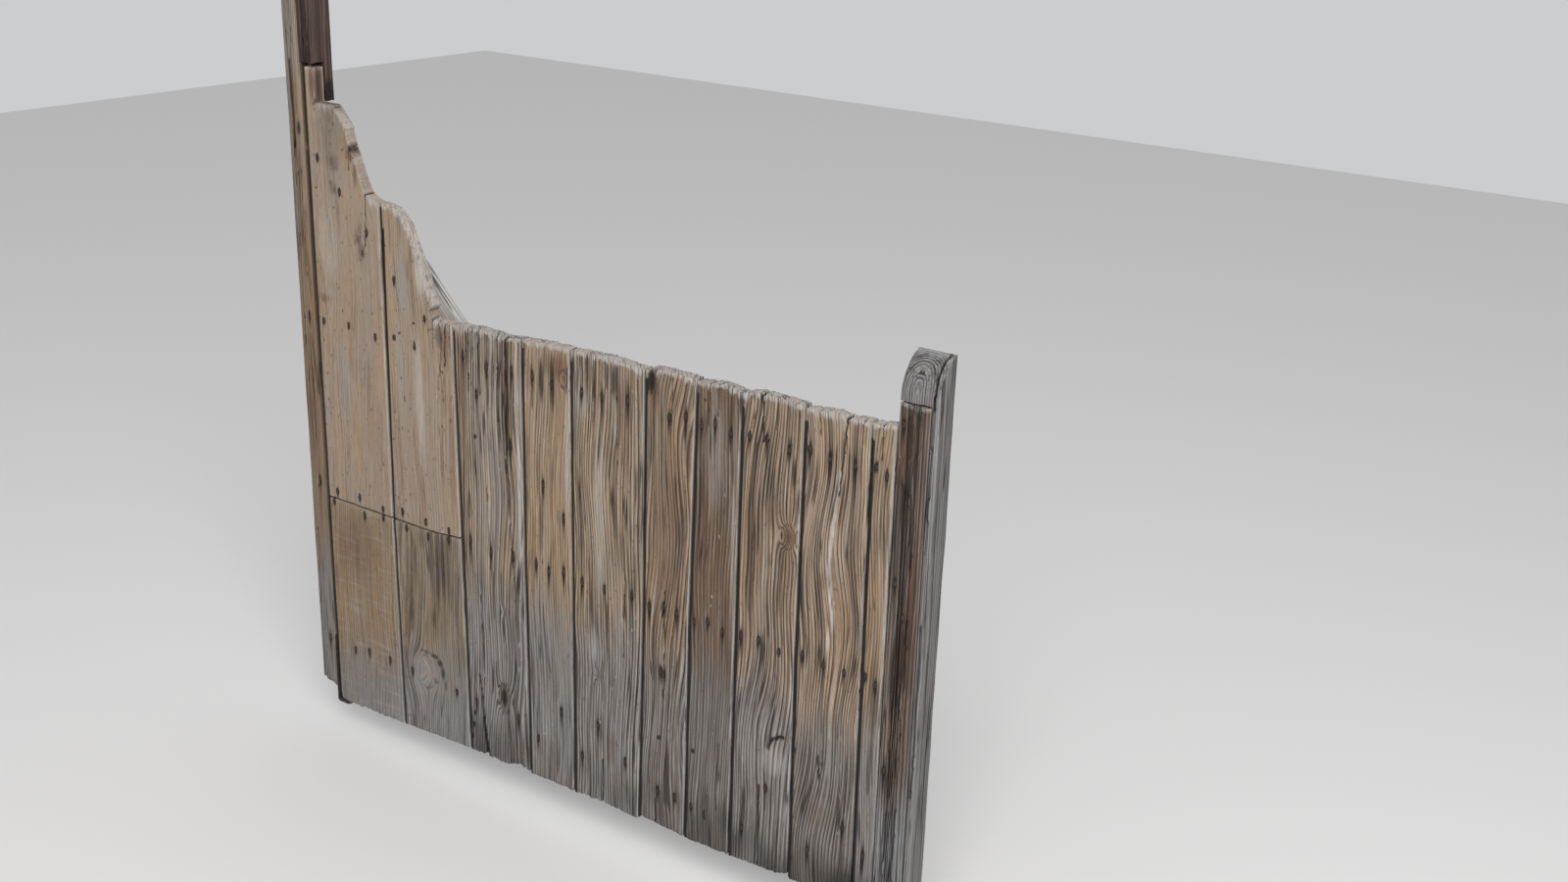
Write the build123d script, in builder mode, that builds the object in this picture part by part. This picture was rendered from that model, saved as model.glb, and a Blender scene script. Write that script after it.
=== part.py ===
from build123d import *
from math import hypot, sin
from typing import NamedTuple
import os

# Half door of upright planks, hung on pivots between a timber jamb and the foot of a head post.
# Millimetres. X runs along the wall from the hinge side, Y goes into the wall, Z is up.
# The origin is on the jamb's back face, on its centre line, at its lowest fixing nail.

# Heights are measured up from the leaf's foot line, which lies this far below the origin
FOOT_DROP = 113.0

# Depths, from the wall outwards
WALL_CLEARANCE = 2.0
FRAME_THICKNESS = 22.0
PLANK_THICKNESS = 22.0

# Jamb and head post
JAMB_WIDTH = 37.0
HEAD_GAP = 9.0
FOOT_GAP = 4.5
SLANT_TOP = 1100.0
JAMB_FOOT = 9.0
JAMB_FOOT_RISE = 11.0
JAMB_ARRIS = 3.0
POST_OVERHANG = 24.0
POST_TENON_TOP = 1187.0
POST_REAR_FOOT = 1120.0
POST_REBATE = 27.0
POST_RUN = 163.0
FRAME_TOP = POST_TENON_TOP + POST_RUN

# Pivots
PIVOT_INSET = 10.0
TOP_PIN_RADIUS = 4.0
TOP_PIN_IN_POST = 40.0
TOP_PIN_IN_TONGUE = 20.0
FOOT_PIN_RADIUS = 5.0
FOOT_PIN_IN_PLANK = 30.0
PIVOT_CLEARANCE = 0.3
STRAP_THICKNESS = 3.0
STRAP_WIDTH = 16.0
STRAP_TOP = 120.0
ARM_THICKNESS = 5.0
ARM_REACH = 12.0
ARM_END = 2.0
WASHER_THICKNESS = 2.0
WASHER_RADIUS = 9.0
SCREW_RADIUS = 2.0
SCREW_LENGTH = 26.0

# Boards: distances between joints at the foot line, at the break and at the head line
FOOT_PITCHES = (174.0, 169.0, 145.0, 102.0, 142.0, 97.0, 91.0, 118.0, 119.0, 37.5)
BREAK_PITCHES = (168.5, 167.5, 148.0, 106.0, 149.5, 93.5, 90.5, 112.5, 119.0, 39.5)
HEAD_PITCHES = (169.0, 162.5, 154.0, 103.5, 152.5, 100.0, 84.5, 112.5, 113.5, 42.5)
BREAK_HEIGHT = 405.0
HEAD_HEIGHT = 810.0
JOINT_GAP = 2.5
BREAK_GAP = 2.0
BREAK_RISE = 6.0
BOARD_ARRIS = 1.2
LONG_EDGE = 200.0
PIVOT_ARRIS = 3.0
PIVOT_FOOT = -12.0

# Hinge-side board: tongue, shoulder and the sawn sweep down from it
TONGUE_WIDTH = 26.0
TONGUE_TOP = 1182.0
SHOULDER_WIDTH = 67.0
SHOULDER_HEIGHT = 1124.0
SWEEP_POINTS = ((139.0, 985.0), (128.0, 1004.0), (106.0, 1055.0), (97.0, 1084.0))
SWEEP_FOOT = 973.0
SWEEP_FOOT_SLOPE = (-1.0, 0.15)
SWEEP_HEAD_SLOPE = (-0.55, 0.6)

# Frame behind the planks
HINGE_STILE_INSET = 6.0
HINGE_STILE_WIDTH = 56.0
HINGE_STILE_FOOT = 5.0
BRACE_HEAD = 1054.0
BRACE_HEAD_LENGTH = 225.0
TOP_RAIL_DROP = 70.0
TOP_RAIL_HEIGHT = HEAD_HEIGHT - TOP_RAIL_DROP
TOP_RAIL_WIDTH = 86.0
MIDDLE_RAIL_RISE = 5.0
MIDDLE_RAIL_HEIGHT = BREAK_HEIGHT + MIDDLE_RAIL_RISE
MIDDLE_RAIL_WIDTH = 90.0
BOTTOM_RAIL_HEIGHT = 115.0
BOTTOM_RAIL_WIDTH = 120.0
BRACE_SUM = 1058.0
BRACE_WIDTH = 78.0
TENON_LENGTH = 20.0
TENON_THICKNESS = 8.0
TENON_SHOULDER = 10.0
TENON_CLEARANCE = 0.2
PEG_RADIUS = 4.0
PEG_LENGTH = 19.0

# Lock stile and its cover strip
LOCK_STILE_GAP = 1.5
LOCK_STILE_WIDTH = 62.0
LOCK_STILE_FOOT = 0.0
LOCK_HEAD_RISE = 42.0
LOCK_HEAD_UPRIGHT = 14.0
LOCK_HEAD_ROUND = 55.0
LOCK_HEAD_FOOT = HEAD_HEIGHT + LOCK_HEAD_RISE
LOCK_HEAD_SPRING = LOCK_HEAD_FOOT + LOCK_HEAD_UPRIGHT
LOCK_HEAD_TOP = LOCK_HEAD_SPRING + LOCK_HEAD_ROUND
LOCK_HEAD_ARC_DEPTH = 12.0
LOCK_HEAD_ARC_RISE = 31.0
STRIP_WIDTH = 51.0
STRIP_THICKNESS = 20.0
STRIP_FOOT = 4.0
STRIP_GAP = 1.0
GROOVE_WIDTH = 5.0
GROOVE_DEPTH = 3.0
GROOVE_PLACES = (0.32, 0.52, 0.76)

# Forged nails
NAIL_SHANK = 4.0
NAIL_HEAD = 8.5
NAIL_HEAD_HEIGHT = 1.8
NAIL_HEAD_TAPER = 35.0
NAIL_BITE = 15.0
NAIL_WANDER = 5.0
NAIL_WANDER_STEP = 2.4
NAIL_CLEARANCE = 0.05
JAMB_NAIL_HEIGHTS = (113.0, 430.0, 741.0)
JAMB_NAIL_SIDES = (11.0, 8.5, 7.5)
POST_NAIL_SHARE = 0.85
STRIP_NAIL_SHARE = 0.16

# Sliding bolt on the back of the leaf, on a pad beside the lock stile
LOCK_OVERLAP = 25.0
DOORWAY_CLEARANCE = 3.0
PAD_SETBACK = 1.0
PAD_THICKNESS = 12.0
PAD_HEIGHT = 60.0
PAD_ARRIS = 2.0
BOLT_HEIGHT = 16.0
BOLT_THICKNESS = 6.0
BOLT_TAIL = 4.0
BOLT_TRAVEL = 45.0
BOLT_CLEARANCE = 0.4
BOLT_KNOB_RADIUS = 5.0
BOLT_KNOB_HEIGHT = 20.0
KEEPER_LENGTH = 18.0
KEEPER_METAL = 2.0
KEEPER_FLANGE = 14.0
KEEPER_INSET = 5.0
KEEPER_NAIL_RADIUS = 1.6
KEEPER_NAIL_HEAD = 3.2
KEEPER_NAIL_BITE = 6.0

# Places worked out from the sizes above
LEAF_BACK = -WALL_CLEARANCE
PLANK_BACK = LEAF_BACK - FRAME_THICKNESS
FRONT = PLANK_BACK - PLANK_THICKNESS
JAMB_LEFT = -JAMB_WIDTH / 2
LEAF_LEFT = JAMB_WIDTH / 2 + HEAD_GAP
PIVOT_X = LEAF_LEFT + PIVOT_INSET
PIVOT_Y = FRONT + PIVOT_INSET
HINGE_STILE_LEFT = LEAF_LEFT + HINGE_STILE_INSET
HINGE_STILE_RIGHT = HINGE_STILE_LEFT + HINGE_STILE_WIDTH
LOCK_STILE_LEFT = LEAF_LEFT + sum(HEAD_PITCHES) + LOCK_STILE_GAP
LOCK_STILE_RIGHT = LOCK_STILE_LEFT + LOCK_STILE_WIDTH
NAIL_LENGTH = PLANK_THICKNESS + NAIL_BITE
BOLT_Z = MIDDLE_RAIL_HEIGHT - FOOT_DROP
PAD_RIGHT = LOCK_STILE_LEFT - PAD_SETBACK
PAD_BACK = LEAF_BACK + PAD_THICKNESS
RIGHT_KEEPER = PAD_RIGHT - KEEPER_INSET - KEEPER_LENGTH / 2
LEFT_KEEPER = RIGHT_KEEPER - KEEPER_LENGTH - 2 * (BOLT_KNOB_RADIUS + BOLT_CLEARANCE) - BOLT_TRAVEL
BOLT_RIGHT = LOCK_STILE_RIGHT - LOCK_OVERLAP - DOORWAY_CLEARANCE
BOLT_LEFT = LEFT_KEEPER - KEEPER_LENGTH / 2 - BOLT_TRAVEL - BOLT_TAIL
KNOB_X = LEFT_KEEPER + KEEPER_LENGTH / 2 + BOLT_KNOB_RADIUS + BOLT_CLEARANCE
FACE = Plane.XZ.offset(-FRONT)
FRAME_FACE = Plane.XZ.offset(-PLANK_BACK)
BACK = Plane.XZ.offset(-LEAF_BACK)
PAD_FACE = Plane.XZ.offset(-PAD_BACK)


def up(height):
    """Z of a height above the leaf's foot line."""
    return height - FOOT_DROP


def joint_x(joint, height):
    """X of the joint with this number, counted from the hinge edge, at a height."""
    foot, middle, head = (sum(row[:joint]) for row in (FOOT_PITCHES, BREAK_PITCHES, HEAD_PITCHES))
    if height < BREAK_HEIGHT:
        return LEAF_LEFT + foot + (middle - foot) * height / BREAK_HEIGHT
    share = min(1.0, (height - BREAK_HEIGHT) / (HEAD_HEIGHT - BREAK_HEIGHT))
    return LEAF_LEFT + middle + (head - middle) * share


def board_x(place, across, height):
    """X of a point on a board: across runs from 0 at its hinge-side edge to 1 at the other."""
    left = joint_x(place, height) + (JOINT_GAP / 2 if place else 0.0)
    right = joint_x(place + 1, height) - JOINT_GAP / 2
    return left + across * (right - left)


def board_points(place, profile, level=0.0):
    """Points in the front view for (across, height over this level) pairs."""
    return [(board_x(place, across, level + height), up(level + height)) for across, height in profile]


def outline(points, plane=FACE):
    """A face in the front view, from the points round its edge."""
    with BuildSketch(plane) as face:
        with BuildLine():
            Polyline(*points, close=True)
        make_face()
    return face.sketch


def nail_sections(spots, size, plane=FACE):
    """Square sections of nails that are driven in at these spots."""
    with BuildSketch(plane) as sections:
        with Locations(*spots):
            Rectangle(size, size)
    return sections.sketch


def save(piece, name):
    piece.part.label = name
    export_step(piece.part, f"parts/{name}.step")


os.makedirs("parts", exist_ok=True)


# Boards of the leaf. A foot or a cut at the break is (across, height) pairs, from the hinge-side edge
# to the other. A head is (across, rise over the head line) pairs.
class Board(NamedTuple):
    name: str
    place: int
    foot: tuple
    head: tuple
    top_nails: tuple = ()
    middle_nails: tuple = ()
    bottom_nails: tuple = ()


BREAK_TOP = BREAK_HEIGHT + BREAK_GAP / 2
BREAK_FOOT = BREAK_HEIGHT - BREAK_GAP / 2

LOWER_BOARDS = (
    Board("plank_1_lower", 0, ((0, 6), (0.03, PIVOT_FOOT), (0.3, PIVOT_FOOT), (1, -8)),
          ((0, BREAK_FOOT), (1, BREAK_FOOT)),
          bottom_nails=((0.3, 108), (0.52, 115), (0.84, 117))),
    Board("plank_2_lower", 1, ((0, -8), (0.5, -3), (1, 0)),
          ((0, BREAK_FOOT), (0.6, BREAK_FOOT), (1, BREAK_FOOT + BREAK_RISE)),
          bottom_nails=((0.17, 113), (0.84, 106))),
)
WHOLE_BOARDS = (
    Board("plank_3", 2, ((0, -2), (0.27, 1), (0.2, 150), (0.32, 0), (0.62, -1), (0.84, 10), (1, 3)),
          ((0, -14), (0.32, -10), (0.57, -11), (0.79, -13), (1, -9)),
          (0.14, 0.49, 0.86), (0.15, 0.48, 0.84), ((0.14, 103), (0.84, 104))),
    Board("plank_4", 3, ((0, 1), (0.5, 4), (1, 3)), ((0, -9), (0.58, -5), (1, -5)),
          (0.23, 0.63), (0.25, 0.52, 0.84), ((0.2, 80), (0.75, 150))),
    Board("plank_5", 4, ((0, 3), (0.5, 6), (1, 3)), ((0, -6), (0.52, -2), (1, -7)),
          (0.16, 0.44, 0.79), (0.14, 0.47, 0.86), ((0.13, 83), (0.38, 153), (0.8, 104))),
    Board("plank_6", 5, ((0, 12), (0.6, 8), (1, 6)), ((0, -7), (0.12, -1), (0.45, 0), (1, -1)),
          (0.5, 0.83), (0.15, 0.46, 0.76), ((0.42, 75), (0.8, 76))),
    Board("plank_7", 6, ((0, 6), (1, 8)), ((0, -4), (0.6, 2), (1, -3)),
          (0.14, 0.45, 0.8), (0.12, 0.42, 0.75), ((0.15, 72), (0.45, 66))),
    Board("plank_8", 7, ((0, 8), (0.8, 12), (1, 20)), ((0, -4), (0.2, 3), (0.5, 3), (1, 1)),
          (0.14, 0.43, 0.79), (0.1, 0.4, 0.75), ((0.22, 71), (0.6, 160))),
    Board("plank_9", 8, ((0, 14), (0.5, 8), (1, 6)), ((0, -2), (0.45, 3), (0.66, 0), (1, 2)),
          (0.1, 0.41, 0.8), (0.12, 0.45, 0.76), ((0.3, 80), (0.84, 145))),
    Board("plank_10", 9, ((0, 6), (1, 5)), ((0, 1), (1, 6)),
          (0.25, 0.7), (0.2, 0.68), ((0.5, 110),)),
)

# Upper boards of the first two places, cut off at the break
HINGE_TOP_NAILS = (0.1, 0.48, 0.87)
SECOND_TOP_NAILS = (0.14, 0.44)
BREAK_NAILS_ABOVE = ((0.16, 0.51, 0.86), (0.15, 0.5, 0.84))
BREAK_NAILS_BELOW = ((0.1, 0.57, 0.86), (0.2, 0.52, 0.83))
BREAK_NAIL_LIFT = 15.0
BREAK_NAIL_DROP = 9.0
SECOND_HEAD = ((0.03, 166), (0.2, 162), (0.37, 138), (0.44, 111), (0.57, 73), (0.67, 26), (0.72, 7),
               (0.68, -4), (0.73, -14), (1, -14))

# Where the nails stand in the front view
BRACE_NAIL_PLACES = (25.0, 75.0, 137.0, 199.0, 268.0, 383.0, 458.0, 529.0, 573.0, 778.0)
BRACE_NAIL_LIFTS = (-4.0, -4.0, -3.0, -12.0, 2.0, 8.0, 10.0, 30.0, 26.0, 18.0)


def row(place, shares, height, start):
    """Nails across one board at a rail, each a little above or below the row's height."""
    return [(board_x(place, share, height), up(height + NAIL_WANDER * sin(NAIL_WANDER_STEP * (start + index))))
            for index, share in enumerate(shares)]


top_spots = row(0, HINGE_TOP_NAILS, TOP_RAIL_HEIGHT, 0) + row(1, SECOND_TOP_NAILS, TOP_RAIL_HEIGHT, 3)
middle_spots = []
bottom_spots = []
for place in (0, 1):
    middle_spots += row(place, BREAK_NAILS_ABOVE[place], BREAK_HEIGHT + BREAK_NAIL_LIFT, 3 * place)
    middle_spots += row(place, BREAK_NAILS_BELOW[place], BREAK_HEIGHT - BREAK_NAIL_DROP, 3 * place + 1)
for board in WHOLE_BOARDS:
    top_spots += row(board.place, board.top_nails, TOP_RAIL_HEIGHT, 3 * board.place)
    middle_spots += row(board.place, board.middle_nails, MIDDLE_RAIL_HEIGHT, 3 * board.place)
for board in LOWER_BOARDS + WHOLE_BOARDS:
    bottom_spots += board_points(board.place, board.bottom_nails)
brace_spots = [(LEAF_LEFT + x, up(BRACE_SUM - x + lift)) for x, lift in zip(BRACE_NAIL_PLACES, BRACE_NAIL_LIFTS)]
all_spots = top_spots + middle_spots + bottom_spots + brace_spots


def spots_within(piece):
    """Nail spots inside a piece's box in the front view."""
    box = piece.bounding_box()
    return [(x, z) for x, z in all_spots if box.min.X < x < box.max.X and box.min.Z < z < box.max.Z]


def long_front_edges(piece):
    """A board's long front edges."""
    return piece.edges().filter_by(lambda edge: edge.length > LONG_EDGE).group_by(Axis.Y)[0]


# Lower boards, of which the first turns on the foot pin
for board in LOWER_BOARDS:
    with BuildPart() as lower_board:
        extrude(outline(board_points(board.place, board.foot + board.head[::-1])), amount=-PLANK_THICKNESS)
        chamfer(long_front_edges(lower_board).sort_by(Axis.X)[-1], BOARD_ARRIS)
        chamfer(long_front_edges(lower_board).sort_by(Axis.X)[0], BOARD_ARRIS if board.place else PIVOT_ARRIS)
        holes = nail_sections(spots_within(lower_board.part), NAIL_SHANK + 2 * NAIL_CLEARANCE)
        extrude(holes, amount=-PLANK_THICKNESS, mode=Mode.SUBTRACT)
        if board.place == 0:
            with Locations((PIVOT_X, PIVOT_Y, up(PIVOT_FOOT))):
                Cylinder(FOOT_PIN_RADIUS + PIVOT_CLEARANCE, FOOT_PIN_IN_PLANK + PIVOT_CLEARANCE,
                         align=(Align.CENTER, Align.CENTER, Align.MIN), mode=Mode.SUBTRACT)
    save(lower_board, board.name)

# Whole boards, from the third to the narrow last one
for board in WHOLE_BOARDS:
    sides = board_points(board.place, [(1, BREAK_HEIGHT)])
    sides += board_points(board.place, board.head[::-1], HEAD_HEIGHT)
    sides += board_points(board.place, [(0, BREAK_HEIGHT)])
    with BuildPart() as whole_board:
        extrude(outline(board_points(board.place, board.foot) + sides), amount=-PLANK_THICKNESS)
        chamfer(long_front_edges(whole_board), BOARD_ARRIS)
        holes = nail_sections(spots_within(whole_board.part), NAIL_SHANK + 2 * NAIL_CLEARANCE)
        extrude(holes, amount=-PLANK_THICKNESS, mode=Mode.SUBTRACT)
    save(whole_board, board.name)

# Upper hinge-side board, with the tongue that turns under the head post
with BuildPart() as plank_1_upper:
    with BuildSketch(FACE) as hinge_board:
        with BuildLine():
            right_foot = (board_x(0, 1, BREAK_TOP), up(BREAK_TOP))
            right_head = (board_x(0, 1, SWEEP_FOOT), up(SWEEP_FOOT))
            shoulder_end = (LEAF_LEFT + SHOULDER_WIDTH, up(SHOULDER_HEIGHT))
            sweep = [(LEAF_LEFT + x, up(z)) for x, z in SWEEP_POINTS]
            Polyline(shoulder_end, (LEAF_LEFT + TONGUE_WIDTH, up(SHOULDER_HEIGHT)),
                     (LEAF_LEFT + TONGUE_WIDTH, up(TONGUE_TOP)), (LEAF_LEFT, up(TONGUE_TOP)),
                     (LEAF_LEFT, up(BREAK_TOP)), right_foot, right_head)
            Spline(right_head, *sweep, shoulder_end, tangents=(SWEEP_FOOT_SLOPE, SWEEP_HEAD_SLOPE))
        make_face()
    extrude(amount=-PLANK_THICKNESS)
    chamfer(long_front_edges(plank_1_upper).sort_by(Axis.X)[-1], BOARD_ARRIS)
    chamfer(long_front_edges(plank_1_upper).sort_by(Axis.X)[0], PIVOT_ARRIS)
    holes = nail_sections(spots_within(plank_1_upper.part), NAIL_SHANK + 2 * NAIL_CLEARANCE)
    extrude(holes, amount=-PLANK_THICKNESS, mode=Mode.SUBTRACT)
    with Locations((PIVOT_X, PIVOT_Y, up(TONGUE_TOP))):
        Cylinder(TOP_PIN_RADIUS + PIVOT_CLEARANCE, TOP_PIN_IN_TONGUE + PIVOT_CLEARANCE,
                 align=(Align.CENTER, Align.CENTER, Align.MAX), mode=Mode.SUBTRACT)
save(plank_1_upper, "plank_1_upper")

# Upper second board, its far side broken away down to the height of the next board
with BuildPart() as plank_2_upper:
    second_foot = ((0, BREAK_TOP), (0.6, BREAK_TOP), (1, BREAK_TOP + BREAK_RISE))
    second_points = board_points(1, second_foot) + board_points(1, SECOND_HEAD[::-1], HEAD_HEIGHT)
    extrude(outline(second_points), amount=-PLANK_THICKNESS)
    chamfer(long_front_edges(plank_2_upper), BOARD_ARRIS)
    holes = nail_sections(spots_within(plank_2_upper.part), NAIL_SHANK + 2 * NAIL_CLEARANCE)
    extrude(holes, amount=-PLANK_THICKNESS, mode=Mode.SUBTRACT)
save(plank_2_upper, "plank_2_upper")


# Frame behind the boards: two stiles, three rails with stub tenons, and a brace in three lengths
RAILS = (
    ("top_rail", TOP_RAIL_HEIGHT, TOP_RAIL_WIDTH),
    ("middle_rail", MIDDLE_RAIL_HEIGHT, MIDDLE_RAIL_WIDTH),
    ("bottom_rail", BOTTOM_RAIL_HEIGHT, BOTTOM_RAIL_WIDTH),
)
FRAME_MIDDLE = PLANK_BACK + FRAME_THICKNESS / 2
RAIL_LENGTH = LOCK_STILE_LEFT - HINGE_STILE_RIGHT
RAIL_MIDDLE = (LOCK_STILE_LEFT + HINGE_STILE_RIGHT) / 2
BRACE_RISE = BRACE_WIDTH / 2 * 2 ** 0.5
top_of = {name: height + width / 2 for name, height, width in RAILS}
under = {name: height - width / 2 for name, height, width in RAILS}
PEG_PLACES = [(x, up(height + side * width / 4))
              for _, height, width in RAILS
              for x, side in ((HINGE_STILE_RIGHT - TENON_LENGTH / 2, 1), (LOCK_STILE_LEFT + TENON_LENGTH / 2, -1))]


KEEPER_ROOM = BOLT_HEIGHT / 2 + BOLT_CLEARANCE
KEEPER_NAIL_PLACES = [(x, BOLT_Z + side * (KEEPER_ROOM + KEEPER_METAL + KEEPER_FLANGE / 2))
                      for x in (LEFT_KEEPER, RIGHT_KEEPER) for side in (-1, 1)]


def round_sections(places, radius, plane=BACK):
    """Round sections of pegs or nails that are driven in from the back of the leaf."""
    with BuildSketch(plane) as sections:
        with Locations(*places):
            Circle(radius)
    return sections.sketch


peg_holes = round_sections(PEG_PLACES, PEG_RADIUS + NAIL_CLEARANCE)
keeper_holes = round_sections(KEEPER_NAIL_PLACES, KEEPER_NAIL_RADIUS + NAIL_CLEARANCE, PAD_FACE)
KEEPER_NAIL_DEPTH = PAD_THICKNESS + KEEPER_NAIL_BITE


for name, height, width in RAILS:
    with BuildPart() as rail:
        with Locations((RAIL_MIDDLE, FRAME_MIDDLE, up(height))):
            Box(RAIL_LENGTH, FRAME_THICKNESS, width)
            Box(RAIL_LENGTH + 2 * TENON_LENGTH, TENON_THICKNESS, width - 2 * TENON_SHOULDER)
        spots = spots_within(rail.part)
        extrude(nail_sections(spots, NAIL_SHANK + 2 * NAIL_CLEARANCE), amount=-NAIL_LENGTH, mode=Mode.SUBTRACT)
        extrude(peg_holes, amount=PEG_LENGTH, mode=Mode.SUBTRACT)
        if name == "middle_rail":
            extrude(keeper_holes, amount=KEEPER_NAIL_DEPTH, mode=Mode.SUBTRACT)
    save(rail, name)


def mortises(side):
    """Box-shaped mortises for all the rails' tenons, in the stile on this side of them."""
    tenon_x = RAIL_MIDDLE + side * (RAIL_LENGTH + TENON_LENGTH) / 2
    for _, height, width in RAILS:
        with Locations((tenon_x, FRAME_MIDDLE, up(height))):
            Box(TENON_LENGTH + 2 * TENON_CLEARANCE, TENON_THICKNESS + 2 * TENON_CLEARANCE,
                width - 2 * TENON_SHOULDER + 2 * TENON_CLEARANCE, mode=Mode.SUBTRACT)


# The hinge stile stands behind the first board and is cut off under the brace
with BuildPart() as hinge_stile:
    stile_points = [(HINGE_STILE_LEFT, up(HINGE_STILE_FOOT)), (HINGE_STILE_RIGHT, up(HINGE_STILE_FOOT))]
    stile_points += [(x, up(BRACE_SUM - BRACE_RISE - (x - LEAF_LEFT))) for x in (HINGE_STILE_RIGHT, HINGE_STILE_LEFT)]
    extrude(outline(stile_points, FRAME_FACE), amount=-FRAME_THICKNESS)
    mortises(-1)
    spots = spots_within(hinge_stile.part)
    extrude(nail_sections(spots, NAIL_SHANK + 2 * NAIL_CLEARANCE), amount=-NAIL_LENGTH, mode=Mode.SUBTRACT)
    extrude(peg_holes, amount=PEG_LENGTH, mode=Mode.SUBTRACT)
save(hinge_stile, "hinge_stile")

# Nails of the cover strip, halfway along each stretch of the lock stile that holds no tenon
rail_ends = [edge for name in ("bottom_rail", "middle_rail", "top_rail") for edge in (under[name], top_of[name])]
stretches = [STRIP_FOOT] + rail_ends + [LOCK_HEAD_FOOT]
strip_spots = [(LOCK_STILE_LEFT + STRIP_NAIL_SHARE * STRIP_WIDTH, up((low + high) / 2))
               for low, high in zip(stretches[::2], stretches[1::2])]

# Lock stile: a post with a rounded head, rebated below it for the cover strip
with BuildPart() as lock_stile:
    with BuildSketch(Plane.YZ.offset(LOCK_STILE_LEFT)):
        with BuildLine():
            Polyline((FRONT, up(LOCK_HEAD_SPRING)), (FRONT, up(LOCK_STILE_FOOT)),
                     (LEAF_BACK, up(LOCK_STILE_FOOT)), (LEAF_BACK, up(LOCK_HEAD_TOP)))
            ThreePointArc((FRONT, up(LOCK_HEAD_SPRING)),
                          (FRONT + LOCK_HEAD_ARC_DEPTH, up(LOCK_HEAD_SPRING + LOCK_HEAD_ARC_RISE)),
                          (LEAF_BACK, up(LOCK_HEAD_TOP)))
        make_face()
    extrude(amount=LOCK_STILE_WIDTH)
    with BuildSketch(Plane.XY.offset(up(LOCK_HEAD_FOOT))):
        with Locations((LOCK_STILE_LEFT, FRONT)):
            Rectangle(STRIP_WIDTH, STRIP_THICKNESS, align=Align.MIN)
    extrude(amount=LOCK_STILE_FOOT - LOCK_HEAD_FOOT, mode=Mode.SUBTRACT)
    mortises(1)
    extrude(peg_holes, amount=PEG_LENGTH, mode=Mode.SUBTRACT)
    strip_holes = nail_sections(strip_spots, NAIL_SHANK + 2 * NAIL_CLEARANCE)
    extrude(strip_holes, amount=-(STRIP_THICKNESS + NAIL_BITE), mode=Mode.SUBTRACT)
save(lock_stile, "lock_stile")

# Cover strip, an old moulded lath with three worn grooves
with BuildPart() as cover_strip:
    groove_side = hypot(GROOVE_WIDTH / 2, GROOVE_DEPTH)
    with BuildSketch(Plane.XY.offset(up(STRIP_FOOT))):
        with Locations((LOCK_STILE_LEFT, FRONT)):
            Rectangle(STRIP_WIDTH - STRIP_GAP, STRIP_THICKNESS, align=Align.MIN)
        with Locations(*[(LOCK_STILE_LEFT + share * STRIP_WIDTH, FRONT) for share in GROOVE_PLACES]):
            Triangle(a=GROOVE_WIDTH, b=groove_side, c=groove_side, rotation=180, mode=Mode.SUBTRACT)
    extrude(amount=LOCK_HEAD_FOOT - STRIP_GAP - STRIP_FOOT)
    extrude(strip_holes, amount=-STRIP_THICKNESS, mode=Mode.SUBTRACT)
save(cover_strip, "cover_strip")

# Diagonal brace from the hinge side's head down to the lock side's foot, between the rails.
# Its head was sawn lower with the boards in front of it.
brace_high = BRACE_SUM + BRACE_RISE
brace_low = BRACE_SUM - BRACE_RISE
inset = HINGE_STILE_INSET
BRACES = (
    ("brace_upper", [(inset, brace_low - inset), (inset, BRACE_HEAD),
                     (BRACE_HEAD_LENGTH, brace_high - BRACE_HEAD_LENGTH),
                     (brace_high - top_of["top_rail"], top_of["top_rail"]),
                     (brace_low - top_of["top_rail"], top_of["top_rail"])]),
    ("brace_middle", [(brace_high - under["top_rail"], under["top_rail"]),
                      (brace_high - top_of["middle_rail"], top_of["middle_rail"]),
                      (brace_low - top_of["middle_rail"], top_of["middle_rail"]),
                      (brace_low - under["top_rail"], under["top_rail"])]),
    ("brace_lower", [(brace_high - under["middle_rail"], under["middle_rail"]),
                     (brace_high - top_of["bottom_rail"], top_of["bottom_rail"]),
                     (brace_low - top_of["bottom_rail"], top_of["bottom_rail"]),
                     (brace_low - under["middle_rail"], under["middle_rail"])]),
)
for name, corners in BRACES:
    with BuildPart() as brace:
        extrude(outline([(LEAF_LEFT + x, up(z)) for x, z in corners], FRAME_FACE), amount=-FRAME_THICKNESS)
        spots = spots_within(brace.part)
        extrude(nail_sections(spots, NAIL_SHANK + 2 * NAIL_CLEARANCE), amount=-NAIL_LENGTH, mode=Mode.SUBTRACT)
    save(brace, name)

# Pegs that lock the tenons, driven in from the back
with BuildPart() as tenon_pegs:
    extrude(round_sections(PEG_PLACES, PEG_RADIUS), amount=PEG_LENGTH)
save(tenon_pegs, "tenon_pegs")


# Forged nails: a square shank under a low four-sided head
NAIL_ROWS = (
    ("top_rail_nails", top_spots, NAIL_LENGTH),
    ("middle_rail_nails", middle_spots, NAIL_LENGTH),
    ("bottom_rail_nails", bottom_spots, NAIL_LENGTH),
    ("brace_nails", brace_spots, NAIL_LENGTH),
    ("strip_nails", strip_spots, STRIP_THICKNESS + NAIL_BITE),
)
for name, spots, length in NAIL_ROWS:
    with BuildPart() as nails:
        extrude(nail_sections(spots, NAIL_HEAD), amount=NAIL_HEAD_HEIGHT, taper=NAIL_HEAD_TAPER)
        extrude(nail_sections(spots, NAIL_SHANK), amount=-length)
    save(nails, name)


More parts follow.
